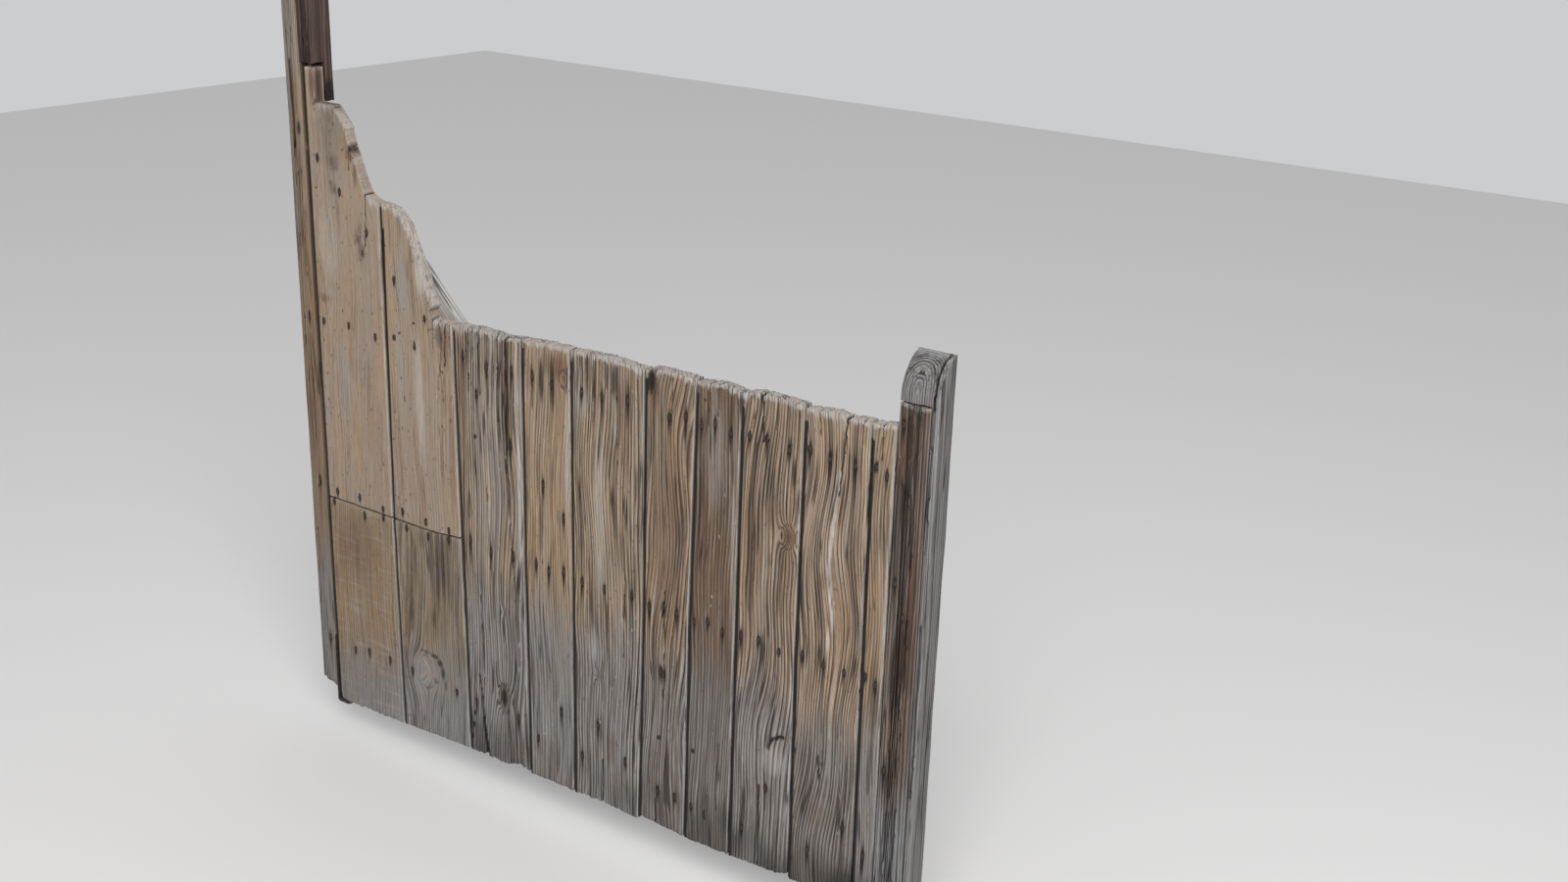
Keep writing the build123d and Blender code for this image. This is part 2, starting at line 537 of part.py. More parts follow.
# Jamb: a board on edge against the wall, its hinge face leaning in towards the foot
jamb_spots = [(side, up(height)) for side, height in zip(JAMB_NAIL_SIDES, JAMB_NAIL_HEIGHTS)]
STRAP_OUTER = LEAF_LEFT - FOOT_GAP - 0.5
ARM_TOP = PIVOT_FOOT - WASHER_THICKNESS
SCREW_PLACES = [(PIVOT_Y, up(STRAP_TOP * share)) for share in (0.45, 0.85)]
with BuildPart() as jamb_board:
    jamb_points = [
        (JAMB_LEFT, up(JAMB_FOOT + JAMB_FOOT_RISE)), (JAMB_LEFT, up(FRAME_TOP)),
        (LEAF_LEFT - HEAD_GAP, up(FRAME_TOP)), (LEAF_LEFT - HEAD_GAP, up(SLANT_TOP)),
        (LEAF_LEFT - FOOT_GAP, up(JAMB_FOOT)), (0, up(JAMB_FOOT + JAMB_FOOT_RISE / 2)),
    ]
    extrude(outline(jamb_points), amount=FRONT)
    chamfer(long_front_edges(jamb_board), JAMB_ARRIS)
    with Locations((STRAP_OUTER - STRAP_THICKNESS, PIVOT_Y, up(0))):
        Box(STRAP_THICKNESS + FOOT_GAP, STRAP_WIDTH, STRAP_TOP,
            align=(Align.MIN, Align.CENTER, Align.MIN), mode=Mode.SUBTRACT)
    with BuildSketch(Plane.YZ.offset(STRAP_OUTER)):
        with Locations(*SCREW_PLACES):
            Circle(SCREW_RADIUS + NAIL_CLEARANCE)
    extrude(amount=-SCREW_LENGTH - NAIL_CLEARANCE, mode=Mode.SUBTRACT)
    extrude(nail_sections(jamb_spots, NAIL_SHANK + 2 * NAIL_CLEARANCE), amount=FRONT, mode=Mode.SUBTRACT)
save(jamb_board, "jamb_board")

with BuildPart() as jamb_nails:
    extrude(nail_sections(jamb_spots, NAIL_HEAD), amount=NAIL_HEAD_HEIGHT, taper=NAIL_HEAD_TAPER)
    extrude(nail_sections(jamb_spots, NAIL_SHANK), amount=FRONT)
save(jamb_nails, "jamb_nails")

# Head post: its front half stops above the tongue, its rear half reaches down behind it
POST_LEFT = LEAF_LEFT - HEAD_GAP
POST_RIGHT = LEAF_LEFT + POST_OVERHANG
post_spots = [(LEAF_LEFT + POST_OVERHANG / 2, up(POST_TENON_TOP + POST_NAIL_SHARE * POST_RUN))]
with BuildPart() as head_post:
    with BuildSketch(Plane.YZ.offset(POST_LEFT)):
        with BuildLine():
            Polyline((FRONT, up(POST_TENON_TOP)), (FRONT, up(FRAME_TOP)), (0, up(FRAME_TOP)),
                     (0, up(POST_REAR_FOOT)), (FRONT + POST_REBATE, up(POST_REAR_FOOT)),
                     (FRONT + POST_REBATE, up(POST_TENON_TOP)), close=True)
        make_face()
    extrude(amount=POST_RIGHT - POST_LEFT)
    with Locations((PIVOT_X, PIVOT_Y, up(POST_TENON_TOP))):
        Cylinder(TOP_PIN_RADIUS + NAIL_CLEARANCE, TOP_PIN_IN_POST + NAIL_CLEARANCE,
                 align=(Align.CENTER, Align.CENTER, Align.MIN), mode=Mode.SUBTRACT)
    extrude(nail_sections(post_spots, NAIL_SHANK + 2 * NAIL_CLEARANCE), amount=FRONT, mode=Mode.SUBTRACT)
save(head_post, "head_post")

with BuildPart() as post_nail:
    extrude(nail_sections(post_spots, NAIL_HEAD), amount=NAIL_HEAD_HEIGHT, taper=NAIL_HEAD_TAPER)
    extrude(nail_sections(post_spots, NAIL_SHANK), amount=FRONT)
save(post_nail, "post_nail")

# Top pivot, a round iron pin driven up into the post
with BuildPart() as top_pivot_pin:
    with BuildSketch(Plane.XY.offset(up(TONGUE_TOP - TOP_PIN_IN_TONGUE))):
        with Locations((PIVOT_X, PIVOT_Y)):
            Circle(TOP_PIN_RADIUS)
    extrude(amount=TOP_PIN_IN_TONGUE + POST_TENON_TOP - TONGUE_TOP + TOP_PIN_IN_POST)
    chamfer(top_pivot_pin.edges().group_by(Axis.Z)[0], TOP_PIN_RADIUS / 4)
save(top_pivot_pin, "top_pivot_pin")

# Foot pivot, a forged bracket: a strap let into the jamb, an arm under the leaf, and an upright pin
with BuildPart() as foot_pivot_bracket:
    with BuildSketch(Plane.XZ.offset(-PIVOT_Y)) as bracket_side:
        with BuildLine():
            Polyline((STRAP_OUTER - STRAP_THICKNESS, up(STRAP_TOP)), (STRAP_OUTER, up(STRAP_TOP)),
                     (STRAP_OUTER, up(ARM_TOP)), (PIVOT_X + ARM_REACH, up(ARM_TOP)),
                     (PIVOT_X + ARM_REACH, up(ARM_TOP - ARM_THICKNESS)),
                     (STRAP_OUTER - STRAP_THICKNESS, up(ARM_TOP - ARM_THICKNESS)), close=True)
        make_face()
        fillet(bracket_side.vertices().group_by(Axis.Y)[0].sort_by(Axis.X)[0], ARM_THICKNESS)
    extrude(amount=STRAP_WIDTH / 2, both=True)
    fillet(foot_pivot_bracket.edges().filter_by(Axis.Z).group_by(Axis.X)[-1], (STRAP_WIDTH - ARM_END) / 2)
    with BuildSketch(Plane.XY.offset(up(ARM_TOP))):
        with Locations((PIVOT_X, PIVOT_Y)):
            Circle(FOOT_PIN_RADIUS)
    extrude(amount=WASHER_THICKNESS + FOOT_PIN_IN_PLANK)
    chamfer(foot_pivot_bracket.edges().filter_by(GeomType.CIRCLE).group_by(Axis.Z)[-1], FOOT_PIN_RADIUS / 4)
    with Locations(*[Plane(origin=(STRAP_OUTER, y, z), z_dir=(1, 0, 0)) for y, z in SCREW_PLACES]):
        CounterSinkHole(SCREW_RADIUS, 2 * SCREW_RADIUS, depth=STRAP_THICKNESS)
save(foot_pivot_bracket, "foot_pivot_bracket")

with BuildPart() as pivot_washer:
    with BuildSketch(Plane.XY.offset(up(ARM_TOP))):
        with Locations((PIVOT_X, PIVOT_Y)):
            Circle(WASHER_RADIUS)
            Circle(FOOT_PIN_RADIUS + PIVOT_CLEARANCE, mode=Mode.SUBTRACT)
    extrude(amount=WASHER_THICKNESS - NAIL_CLEARANCE)
save(pivot_washer, "pivot_washer")

with BuildPart() as bracket_screws:
    for y, z in SCREW_PLACES:
        with BuildSketch(Plane.XZ.offset(-y)) as half_screw:
            with BuildLine():
                Polyline((STRAP_OUTER, z), (STRAP_OUTER, z + 2 * SCREW_RADIUS - NAIL_CLEARANCE),
                         (STRAP_OUTER - SCREW_RADIUS, z + SCREW_RADIUS - NAIL_CLEARANCE),
                         (STRAP_OUTER - SCREW_LENGTH + 2 * SCREW_RADIUS, z + SCREW_RADIUS - NAIL_CLEARANCE),
                         (STRAP_OUTER - SCREW_LENGTH, z), close=True)
            make_face()
        revolve(axis=Axis((0, y, z), (1, 0, 0)))
save(bracket_screws, "bracket_screws")


# Pad behind the middle rail, so deep that the bolt passes behind the wall's face
with BuildPart() as bolt_pad:
    with BuildSketch(PAD_FACE):
        with Locations((PAD_RIGHT, BOLT_Z)):
            Rectangle(PAD_RIGHT - BOLT_LEFT, PAD_HEIGHT, align=(Align.MAX, Align.CENTER))
    extrude(amount=PAD_THICKNESS)
    chamfer(bolt_pad.edges().group_by(Axis.Y)[-1], PAD_ARRIS)
    extrude(keeper_holes, amount=PAD_THICKNESS, mode=Mode.SUBTRACT)
save(bolt_pad, "bolt_pad")

# Sliding bolt at the height of the middle rail, held on the pad by two bent keepers
BOLT_BACK = PAD_BACK + BOLT_CLEARANCE
with BuildPart() as sliding_bolt:
    with BuildSketch(Plane.YZ.offset(BOLT_LEFT)):
        with Locations((BOLT_BACK, BOLT_Z)):
            Rectangle(BOLT_THICKNESS, BOLT_HEIGHT, align=(Align.MIN, Align.CENTER))
    extrude(amount=BOLT_RIGHT - BOLT_LEFT)
    chamfer(sliding_bolt.edges().group_by(Axis.X)[-1], BOLT_THICKNESS / 5)
    with BuildSketch(Plane.XZ.offset(-BOLT_BACK - BOLT_THICKNESS)):
        with Locations((KNOB_X, BOLT_Z)):
            Circle(BOLT_KNOB_RADIUS)
    extrude(amount=-BOLT_KNOB_HEIGHT)
    fillet(sliding_bolt.edges().group_by(Axis.Y)[-1], BOLT_KNOB_RADIUS / 2)
save(sliding_bolt, "sliding_bolt")

KEEPER_COVER = BOLT_THICKNESS + 2 * BOLT_CLEARANCE
with BuildPart() as bolt_keepers:
    for middle in (LEFT_KEEPER, RIGHT_KEEPER):
        with BuildSketch(Plane.YZ.offset(middle)):
            with Locations((PAD_BACK, BOLT_Z)):
                Rectangle(KEEPER_METAL, 2 * (KEEPER_ROOM + KEEPER_METAL + KEEPER_FLANGE),
                          align=(Align.MIN, Align.CENTER))
                Rectangle(KEEPER_COVER + KEEPER_METAL, 2 * (KEEPER_ROOM + KEEPER_METAL),
                          align=(Align.MIN, Align.CENTER))
                Rectangle(KEEPER_COVER, 2 * KEEPER_ROOM, align=(Align.MIN, Align.CENTER), mode=Mode.SUBTRACT)
        extrude(amount=KEEPER_LENGTH / 2, both=True)
    extrude(keeper_holes, amount=-KEEPER_METAL, mode=Mode.SUBTRACT)
save(bolt_keepers, "bolt_keepers")

KEEPER_FACE = Plane.XZ.offset(-PAD_BACK - KEEPER_METAL)
with BuildPart() as keeper_nails:
    extrude(round_sections(KEEPER_NAIL_PLACES, KEEPER_NAIL_HEAD, KEEPER_FACE), amount=-KEEPER_METAL / 2,
            taper=NAIL_HEAD_TAPER)
    extrude(round_sections(KEEPER_NAIL_PLACES, KEEPER_NAIL_RADIUS, KEEPER_FACE),
            amount=KEEPER_METAL + KEEPER_NAIL_DEPTH)
save(keeper_nails, "keeper_nails")
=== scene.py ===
import math
import random

import bmesh
import bpy
from mathutils import Matrix, Vector, kdtree, noise


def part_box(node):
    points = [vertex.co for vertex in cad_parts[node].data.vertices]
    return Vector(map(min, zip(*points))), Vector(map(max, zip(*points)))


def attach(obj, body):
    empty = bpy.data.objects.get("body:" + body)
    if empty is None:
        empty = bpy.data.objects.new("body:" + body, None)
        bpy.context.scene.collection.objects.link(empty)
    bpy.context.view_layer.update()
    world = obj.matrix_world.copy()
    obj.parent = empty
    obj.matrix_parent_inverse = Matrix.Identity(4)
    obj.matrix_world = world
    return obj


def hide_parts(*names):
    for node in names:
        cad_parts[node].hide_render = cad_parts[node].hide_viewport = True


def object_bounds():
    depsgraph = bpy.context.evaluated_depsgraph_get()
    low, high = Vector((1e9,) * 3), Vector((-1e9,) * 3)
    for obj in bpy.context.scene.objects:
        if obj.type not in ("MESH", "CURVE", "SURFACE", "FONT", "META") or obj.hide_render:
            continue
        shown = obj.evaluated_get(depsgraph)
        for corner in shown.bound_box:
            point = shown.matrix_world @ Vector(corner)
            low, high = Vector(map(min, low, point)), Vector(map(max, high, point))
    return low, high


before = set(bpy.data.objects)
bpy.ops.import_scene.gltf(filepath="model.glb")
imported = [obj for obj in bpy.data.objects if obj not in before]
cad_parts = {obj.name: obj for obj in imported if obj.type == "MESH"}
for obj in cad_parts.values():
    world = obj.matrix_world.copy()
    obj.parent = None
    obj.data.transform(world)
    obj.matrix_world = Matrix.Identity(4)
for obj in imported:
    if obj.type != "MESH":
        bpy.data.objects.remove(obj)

cad_low, cad_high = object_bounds()
scene = bpy.context.scene
scene.view_settings.view_transform = "Standard"
MM = 0.001


# Camera. It stands before the door and to its right, at a grown person's eye height, and looks down
# and to the left.
CAMERA_PLACE = Vector((2.3915, -2.041, 1.513))
CAMERA_LENS = 40.41
CAMERA_SENSOR = 36.0
CAMERA_YAW = math.radians(34.28)
CAMERA_PITCH = math.radians(20.0)
CAMERA_ROLL = math.radians(-1.96)

forward = Vector((-math.sin(CAMERA_YAW) * math.cos(CAMERA_PITCH),
                  math.cos(CAMERA_YAW) * math.cos(CAMERA_PITCH), -math.sin(CAMERA_PITCH)))
level = Vector((math.cos(CAMERA_YAW), math.sin(CAMERA_YAW), 0))
down = forward.cross(level)
camera_right = math.cos(CAMERA_ROLL) * level + math.sin(CAMERA_ROLL) * down
camera_up = math.sin(CAMERA_ROLL) * level - math.cos(CAMERA_ROLL) * down
camera_data = bpy.data.cameras.new("camera")
camera_data.lens = CAMERA_LENS
camera_data.sensor_width = CAMERA_SENSOR
camera = bpy.data.objects.new("camera", camera_data)
turn = Matrix((camera_right, camera_up, -forward)).transposed()
camera.matrix_world = Matrix.Translation(CAMERA_PLACE) @ turn.to_4x4()
scene.collection.objects.link(camera)
scene.camera = camera


# Jamb. A narrow softwood board on edge, sawn, never painted, nailed through its face. Its front arrises
# are worn round and pale, its foot has gone grey, and long checks follow the grain.
FOOT_LINE = -113 * MM
JAMB_CELLS = (2.5 * MM, 8 * MM, 8 * MM)
JAMB_CHECKS = ((-6, 700, -4, 1180, 1.8, 6), (4, 420, 6, 640, 1.4, 5), (-10, 130, -8, 330, 1.8, 6),
               (9, 820, 8, 1000, 1.4, 4), (1, 1000, 3, 1240, 1.4, 5))
JAMB_MARKS = dict(
    grey=((-14, 1180, 7, 260, 0.7), (0, 1270, 40, 120, 0.6), (-12, 900, 6, 190, 0.5), (0, 60, 40, 140, 0.9)),
    pale=((18, 1180, 9, 220, 0.55),), rust=((2, 560, 12, 90, 0.35),), black=((10, 1075, 5, 14, 0.8),))


def choose(*pieces):
    """Makes these pieces, and nothing else, the ones that the operators act on."""
    bpy.ops.object.select_all(action="DESELECT")
    for piece in pieces:
        piece.select_set(True)
    bpy.context.view_layer.objects.active = pieces[0]


MERGE = 0.01 * MM
FLATTEN = math.radians(0.5)


def merged_copy(node, name):
    """A copy of a node's mesh as a new piece, its loose triangles merged into whole faces."""
    piece = bpy.data.objects.new(name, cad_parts[node].data.copy())
    scene.collection.objects.link(piece)
    piece.data.materials.clear()
    if "custom_normal" in piece.data.attributes:
        piece.data.attributes.remove(piece.data.attributes["custom_normal"])
    choose(piece)
    bpy.ops.object.mode_set(mode="EDIT")
    bpy.ops.mesh.select_all(action="SELECT")
    bpy.ops.mesh.remove_doubles(threshold=MERGE)
    bpy.ops.mesh.dissolve_limited(angle_limit=FLATTEN)
    bpy.ops.object.mode_set(mode="OBJECT")
    return piece


END_CELL = 2 * MM
END_ZONE = 26 * MM


def sliced_copy(node, name, cells, long_axis=2):
    """A merged copy sliced into small cells, finer at its two ends, so that faces and edges can wear."""
    piece = merged_copy(node, name)
    low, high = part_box(node)
    bpy.ops.object.mode_set(mode="EDIT")
    for axis in sorted(range(3), key=lambda axis: axis != long_axis):
        normal = Vector([float(axis == other) for other in range(3)])
        place = low[axis] + (END_CELL if axis == long_axis else cells[axis])
        while place < high[axis] - END_CELL / 2:
            bpy.ops.mesh.select_all(action="SELECT")
            bpy.ops.mesh.bisect(plane_co=normal * place, plane_no=normal)
            near_end = axis == long_axis and min(place - low[axis], high[axis] - place) < END_ZONE
            place += END_CELL if near_end else cells[axis]
    bpy.ops.object.mode_set(mode="OBJECT")
    return piece


NAIL_TIP = 0.1 * MM
NAIL_APART = 9 * MM


def nail_places(*nodes):
    """Centres of the nail heads in the front view, read from the nails' own tips."""
    places = []
    for node in nodes:
        points = [point.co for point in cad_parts[node].data.vertices]
        front = min(point.y for point in points)
        tips = [Vector((point.x, point.z)) for point in points if point.y < front + NAIL_TIP]
        while tips:
            group = [tip for tip in tips if (tip - tips[0]).length < NAIL_APART]
            tips = [tip for tip in tips if tip not in group]
            places.append(sum(group, Vector((0, 0))) / len(group))
    return places


def wander(*place):
    """Smooth noise between about -1 and 1."""
    return noise.noise(Vector(place))


def ramp(value, low, high):
    """0 below low, 1 above high, smooth between."""
    share = min(1.0, max(0.0, (value - low) / (high - low)))
    return share * share * (3 - 2 * share)


def to_patches(marks, start, foot):
    """Marks in the frame's own place and metres, each with its kind."""
    return [(kind, place * MM + start, z * MM + foot, wide * MM, high * MM, strength)
            for kind, group in dict(marks).items() for place, z, wide, high, strength in group]


CHECK_BEND = 1.2 * MM
CHECK_FOUND = 3 * MM


def open_checks(rows, checks, across, foot, side_foot, seed):
    for x0, z0, x1, z1, width, depth in checks:
        low, high = sorted((z0 * MM + foot, z1 * MM + foot))
        for z, row in rows.items():
            if low < z < high and len(row) > 6:
                share = (z - foot - z0 * MM) / ((z1 - z0) * MM)
                centre = side_foot + (x0 + (x1 - x0) * share) * MM + CHECK_BEND * wander(z * 25, x0, seed)
                row.sort(key=lambda item: abs(item[0] - centre))
                open_share = math.sin(math.pi * min(1.0, max(0.0, 0.15 + 0.85 * share))) ** 0.5
                left = [item for item in row[:5] if item[0] < row[0][0]]
                right = [item for item in row[:5] if item[0] > row[0][0]]
                if left and right and abs(row[0][0] - centre) < CHECK_FOUND:
                    row[0][1].co[across] = centre
                    row[0][1].co.y += depth * MM * open_share
                    left[0][1].co[across] = centre - width * MM / 2
                    right[0][1].co[across] = centre + width * MM / 2


# Widths of the strips in which a piece's ends and sides are looked up
COLUMN = 3 * MM
ROW = 6 * MM
# How the edges, ends, nails and checks wear
SHARP = math.radians(30)
SMOOTH = math.radians(40)
WEAR_REACH = 5 * MM
ROT_REACH = 22 * MM
SKIN = 7 * MM
NAIL_CLEAR = 7 * MM
NAIL_HOLE = (3.4 * MM, 8 * MM)
NAIL_DIMPLE = 1.4 * MM
CHECK_NOTCH = 5 * MM
HOLLOW_DEPTH = 4 * MM
# How far the marks reach. The streaks under and over a nail are in millimetres
STREAK_WIDE = 3.6 * MM
STREAK_UP = 17
STREAK_DOWN = 38
GRIME_TOP = 150 * MM
GRIME_FADE = 110 * MM
DAMP_FADE = 300 * MM


def weather(piece, seed, long_axis=2, wear=1.0, head_rot=3.0, foot_rot=3.0, relief=0.3,
            pith=(0.03, 0.05, 0.0, 0.0), sway=0.0, knots=(), checks=(), nails=(), marks=(), side_marks=(),
            damp_top=0.0, bleach_ends=1.0, bleach_sides=(0.1, 0.9), dirt=1.0, dirt_top=785, joint_dirt=0.0,
            joint_top=785, foot_grime=0.0, nail_run=1.0):
    """Wears the edges, rots the ends, opens the checks, and stores the grain, staining, painted shade and
    highlight.

    The pith is (across, depth, lean across, lean in depth), in metres, of the tree's heart line beside the
    piece. All other measures are in millimetres, with heights over the leaf's foot line, and strengths run
    from 0 to 1. The sway bends the heart line. Knots are (across, along, width, height, strength), checks
    are (across, along, across, along, width, depth) and marks are listed by kind, each (across, along, half
    width, half height, strength). Side marks, for the sides and ends, give the depth behind the front in
    place of the distance across.
    """
    mesh = piece.data
    across = 2 - long_axis
    foot = FOOT_LINE if long_axis == 2 else 0.0
    side_foot = FOOT_LINE if across == 2 else 0.0
    body = bmesh.new()
    body.from_mesh(mesh)
    body.normal_update()
    rest = [point.co.copy() for point in body.verts]
    normals = [point.normal.copy() for point in body.verts]
    sharp = [point for point in body.verts if not any(
        abs(point.co.x - nail.x) + abs(point.co.z - nail.y) < NAIL_CLEAR for nail in nails) and any(
        edge.calc_face_angle(0.0) > SHARP for edge in point.link_edges if len(edge.link_faces) == 2)]
    edge_tree = kdtree.KDTree(max(1, len(sharp)))
    for point in sharp:
        edge_tree.insert(point.co, point.index)
    edge_tree.balance()
    tops, bottoms, lefts, rights = {}, {}, {}, {}
    for co in rest:
        column, row = round(co[across] / COLUMN), round(co[long_axis] / ROW)
        tops[column] = max(tops.get(column, -9.0), co[long_axis])
        bottoms[column] = min(bottoms.get(column, 9.0), co[long_axis])
        lefts[row] = min(lefts.get(row, 9.0), co[across])
        rights[row] = max(rights.get(row, -9.0), co[across])
    front = min(co.y for co in rest)
    back = max(co.y for co in rest)
    middle = sum(co[across] for co in rest) / len(rest)
    knot_places = [(x * MM + side_foot, z * MM + foot, width * MM / 2, height * MM / 2, dark)
                   for x, z, width, height, dark in knots]
    patches = to_patches(marks, side_foot, foot)
    side_patches = to_patches(side_marks, 0.0, foot)
    grain, stains = [], []
    rows = {}
    for point, co, normal in zip(body.verts, rest, normals):
        x, depth, z = co[across], co.y - front, co[long_axis]
        column, row = round(x / COLUMN), round(z / ROW)
        head, heel = tops[column] - z, z - bottoms[column]
        distance = edge_tree.find(co)[2] if sharp else 1.0
        facing = normal.y < -0.5
        # Rings round the heart line, bent at the knots
        heart_x = middle + pith[0] + pith[2] * z + 5 * MM * wander(seed, z * 2.0, 5.0)
        heart_x += sway * MM * wander(seed + 4, z * 5.0, x * 9)
        heart_y = front + pith[1] + pith[3] * z
        ring = math.hypot(x - heart_x, co.y - heart_y) + 2.2 * MM * wander(x * 14, z * 4.2, seed)
        ring += 0.5 * MM * wander(x * 60, z * 15, seed)
        shift = Vector((0, 0, 0))
        stain = rust = bleach = damp = 0.0
        for knot_x, knot_z, half_width, half_height, dark in knot_places:
            aside, above = (x - knot_x) / half_width, (z - knot_z) / half_height
            reach = math.hypot(aside, above)
            if reach < 9:
                ring -= (x - knot_x) / max(1.0, reach * reach) * math.exp(-max(0.0, reach - 1) / 3)
                if reach < 1.3:
                    ring += (1.3 - reach) * half_width * 0.9 * dark
                    rust = max(rust, 0.2 * dark * ramp(1.2 - reach, 0.0, 0.4))
                    stain = max(stain, dark * 0.55 * math.exp(-((reach - 1.0) / 0.16) ** 2),
                                dark * 0.5 * ramp(0.35 - reach, 0.0, 0.3))
        # Dimples and black streaks at the nails
        for nail in nails if facing else ():
            aside, above = abs(x - nail.x), z - nail.y
            if aside < 12 * MM and abs(above) < 160 * MM:
                strength = 0.9 + 0.3 * wander(nail.x * 90, nail.y * 90, 3.0)
                run = (STREAK_UP if above > 0 else STREAK_DOWN) * nail_run * MM * (
                    0.8 + wander(nail.x * 50, nail.y * 50, seed))
                stain = max(stain, strength * 1.35 * math.exp(-(aside / STREAK_WIDE) ** 2) * math.exp(
                    -abs(above) / run))
                reach = math.hypot(aside / NAIL_HOLE[0], above / NAIL_HOLE[1])
                if reach < 1:
                    shift.y += NAIL_DIMPLE * (1 - reach * reach)
                    stain = 1.0
        # Marks, and the dark lines of the checks
        place = x if facing else depth
        near = patches if facing else side_patches if normal.y < 0.5 else ()
        for kind, mark_x, mark_z, wide, high, strength in near:
            reach = ((place - mark_x) / wide) ** 2 + ((z - mark_z) / high) ** 2
            if reach < 4:
                share = strength * math.exp(-reach * reach * 0.9)
                if kind == "pale":
                    bleach = max(bleach, share)
                elif kind == "grey":
                    damp = max(damp, share)
                elif kind == "rust":
                    rust = max(rust, share)
                else:
                    stain = max(stain, share)
                if kind == "hollow":
                    shift -= normal * (HOLLOW_DEPTH * share)
        for x0, z0, x1, z1, width, _ in checks:
            share = (z - foot - z0 * MM) / ((z1 - z0) * MM)
            if -0.03 < share < 1.03 and normal.y < 0.5:
                centre = (x0 + (x1 - x0) * share) * MM
                aside = abs(x - side_foot - centre - CHECK_BEND * wander(z * 25, x0, seed))
                stain = max(stain, 0.95 * math.exp(-(aside / (width * MM)) ** 2))
                if head < 8 * MM and aside < width * MM * 1.2:
                    shift[long_axis] -= CHECK_NOTCH * (1 - aside / (width * MM * 1.2))
        # Worn arrises, the relief of the rings and rotten ends
        worn = max(0.0, 1 - distance / WEAR_REACH) ** 1.5
        shift -= normal * (wear * MM * worn * (0.55 + 0.6 * wander(x * 60, co.y * 60, z * 14 + seed)))
        if abs(normal.y) > 0.7:
            waves = wander(ring * 240, seed, z * 4) + 0.6 * wander(x * 25, seed + 3, z * 9)
            shift.y -= relief * MM * waves * (-1 if normal.y > 0 else 1)
        outer = 1 - 0.65 * ramp(min(depth, back - co.y), 0.0, SKIN)
        if head_rot and head < ROT_REACH:
            reach = ramp(ROT_REACH - head, 0.0, ROT_REACH)
            ragged = abs(wander(x * 300, seed, depth * 60))
            ragged += 0.6 * max(0.0, wander(x * 110, seed + 7, depth * 30))
            shift[long_axis] -= head_rot * MM * reach * (0.3 * outer + ragged)
        if foot_rot and heel < ROT_REACH:
            reach = ramp(ROT_REACH - heel, 0.0, ROT_REACH)
            ragged = abs(wander(x * 260, seed + 11, depth * 60))
            ragged += 0.8 * max(0.0, wander(x * 90, seed + 5, depth * 30))
            shift[long_axis] += foot_rot * MM * reach * (0.3 * outer + ragged)
        point.co = co + shift
        # Bleaching of edges and ends, the right-hand arrises paler still as a painted highlight
        left_gap, right_gap = x - lefts[row], rights[row] - x
        patchy = 0.75 + 0.5 * wander(z * 9, x * 20, seed + 2)
        patchy *= 1 - 0.8 * ramp(depth, 1 * MM, 5 * MM)
        bleach = max(bleach, patchy * bleach_sides[0] * ramp(3.5 * MM - left_gap, 0.0, 3 * MM),
                     patchy * bleach_sides[1] * ramp(2.6 * MM - right_gap, 0.0, 2 * MM))
        end_run = (4 + 16 * abs(wander(x * 70, seed, 1.0))) * MM
        bleach = max(bleach, bleach_ends * ramp(end_run * 1.5 - head, 0.0, end_run))
        # Sides darkened deeper than the front, into the joints: painted shade, with some grime
        if abs(normal[across]) > 0.6 and (normal[across] < 0 or z - foot < dirt_top * MM):
            stain = max(stain, dirt * ramp(depth, 1 * MM, 4 * MM))
        # A dark band along the left edge of each board, beside the joint: painted shade of the gap, with
        # some grime
        if joint_dirt and z - foot < joint_top * MM and rights[row] - lefts[row] > 20 * MM:
            stain = max(stain, joint_dirt * ramp(7 * MM - left_gap, 0.0, 2.2 * MM))
        # Darker towards the foot
        if foot_grime:
            blotch = 0.85 + 0.45 * wander(x * 34, seed + 9, z * 16)
            stain = max(stain, foot_grime * blotch * ramp(GRIME_TOP - (z - foot), 0.0, GRIME_FADE))
        # Splash grey at the foot
        if damp_top:
            damp = max(damp, ramp(damp_top * MM - (z - foot), 0.0, DAMP_FADE))
        # For the shader: bleaching with painted highlight; staining, splash grey and rot, each with painted
        # shade
        grain.extend((ring, co.y, z))
        stains.extend((max(0.0, bleach), min(1.0, stain), damp, rust))
        if facing:
            rows.setdefault(round(z, 5), []).append((x, point))
    open_checks(rows, checks, across, foot, side_foot, seed)
    body.to_mesh(mesh)
    body.free()
    mesh.attributes.new("grain", "FLOAT_VECTOR", "POINT").data.foreach_set("vector", grain)
    mesh.attributes.new("stains", "FLOAT_COLOR", "POINT").data.foreach_set("color", stains)
    choose(piece)
    bpy.ops.object.shade_smooth_by_angle(angle=SMOOTH)


COLOURS = ("Fresh", "Late wood", "Grey", "Bleached", "Splashed")
AMOUNTS = ("Greying", "Rings per metre", "Ring strength", "Streaks", "Hairline checks", "Saw marks",
           "Specks", "Seed")
SPECK_COLOUR = (0.06, 0.04, 0.03, 1.0)
# The rot colour and the near-black staining colour also serve as painted shade
RUST_COLOUR = (0.085, 0.036, 0.022, 1.0)
CHECK_COLOUR = (0.02, 0.016, 0.013, 1.0)
STAIN_COLOUR = (0.014, 0.012, 0.010, 1.0)


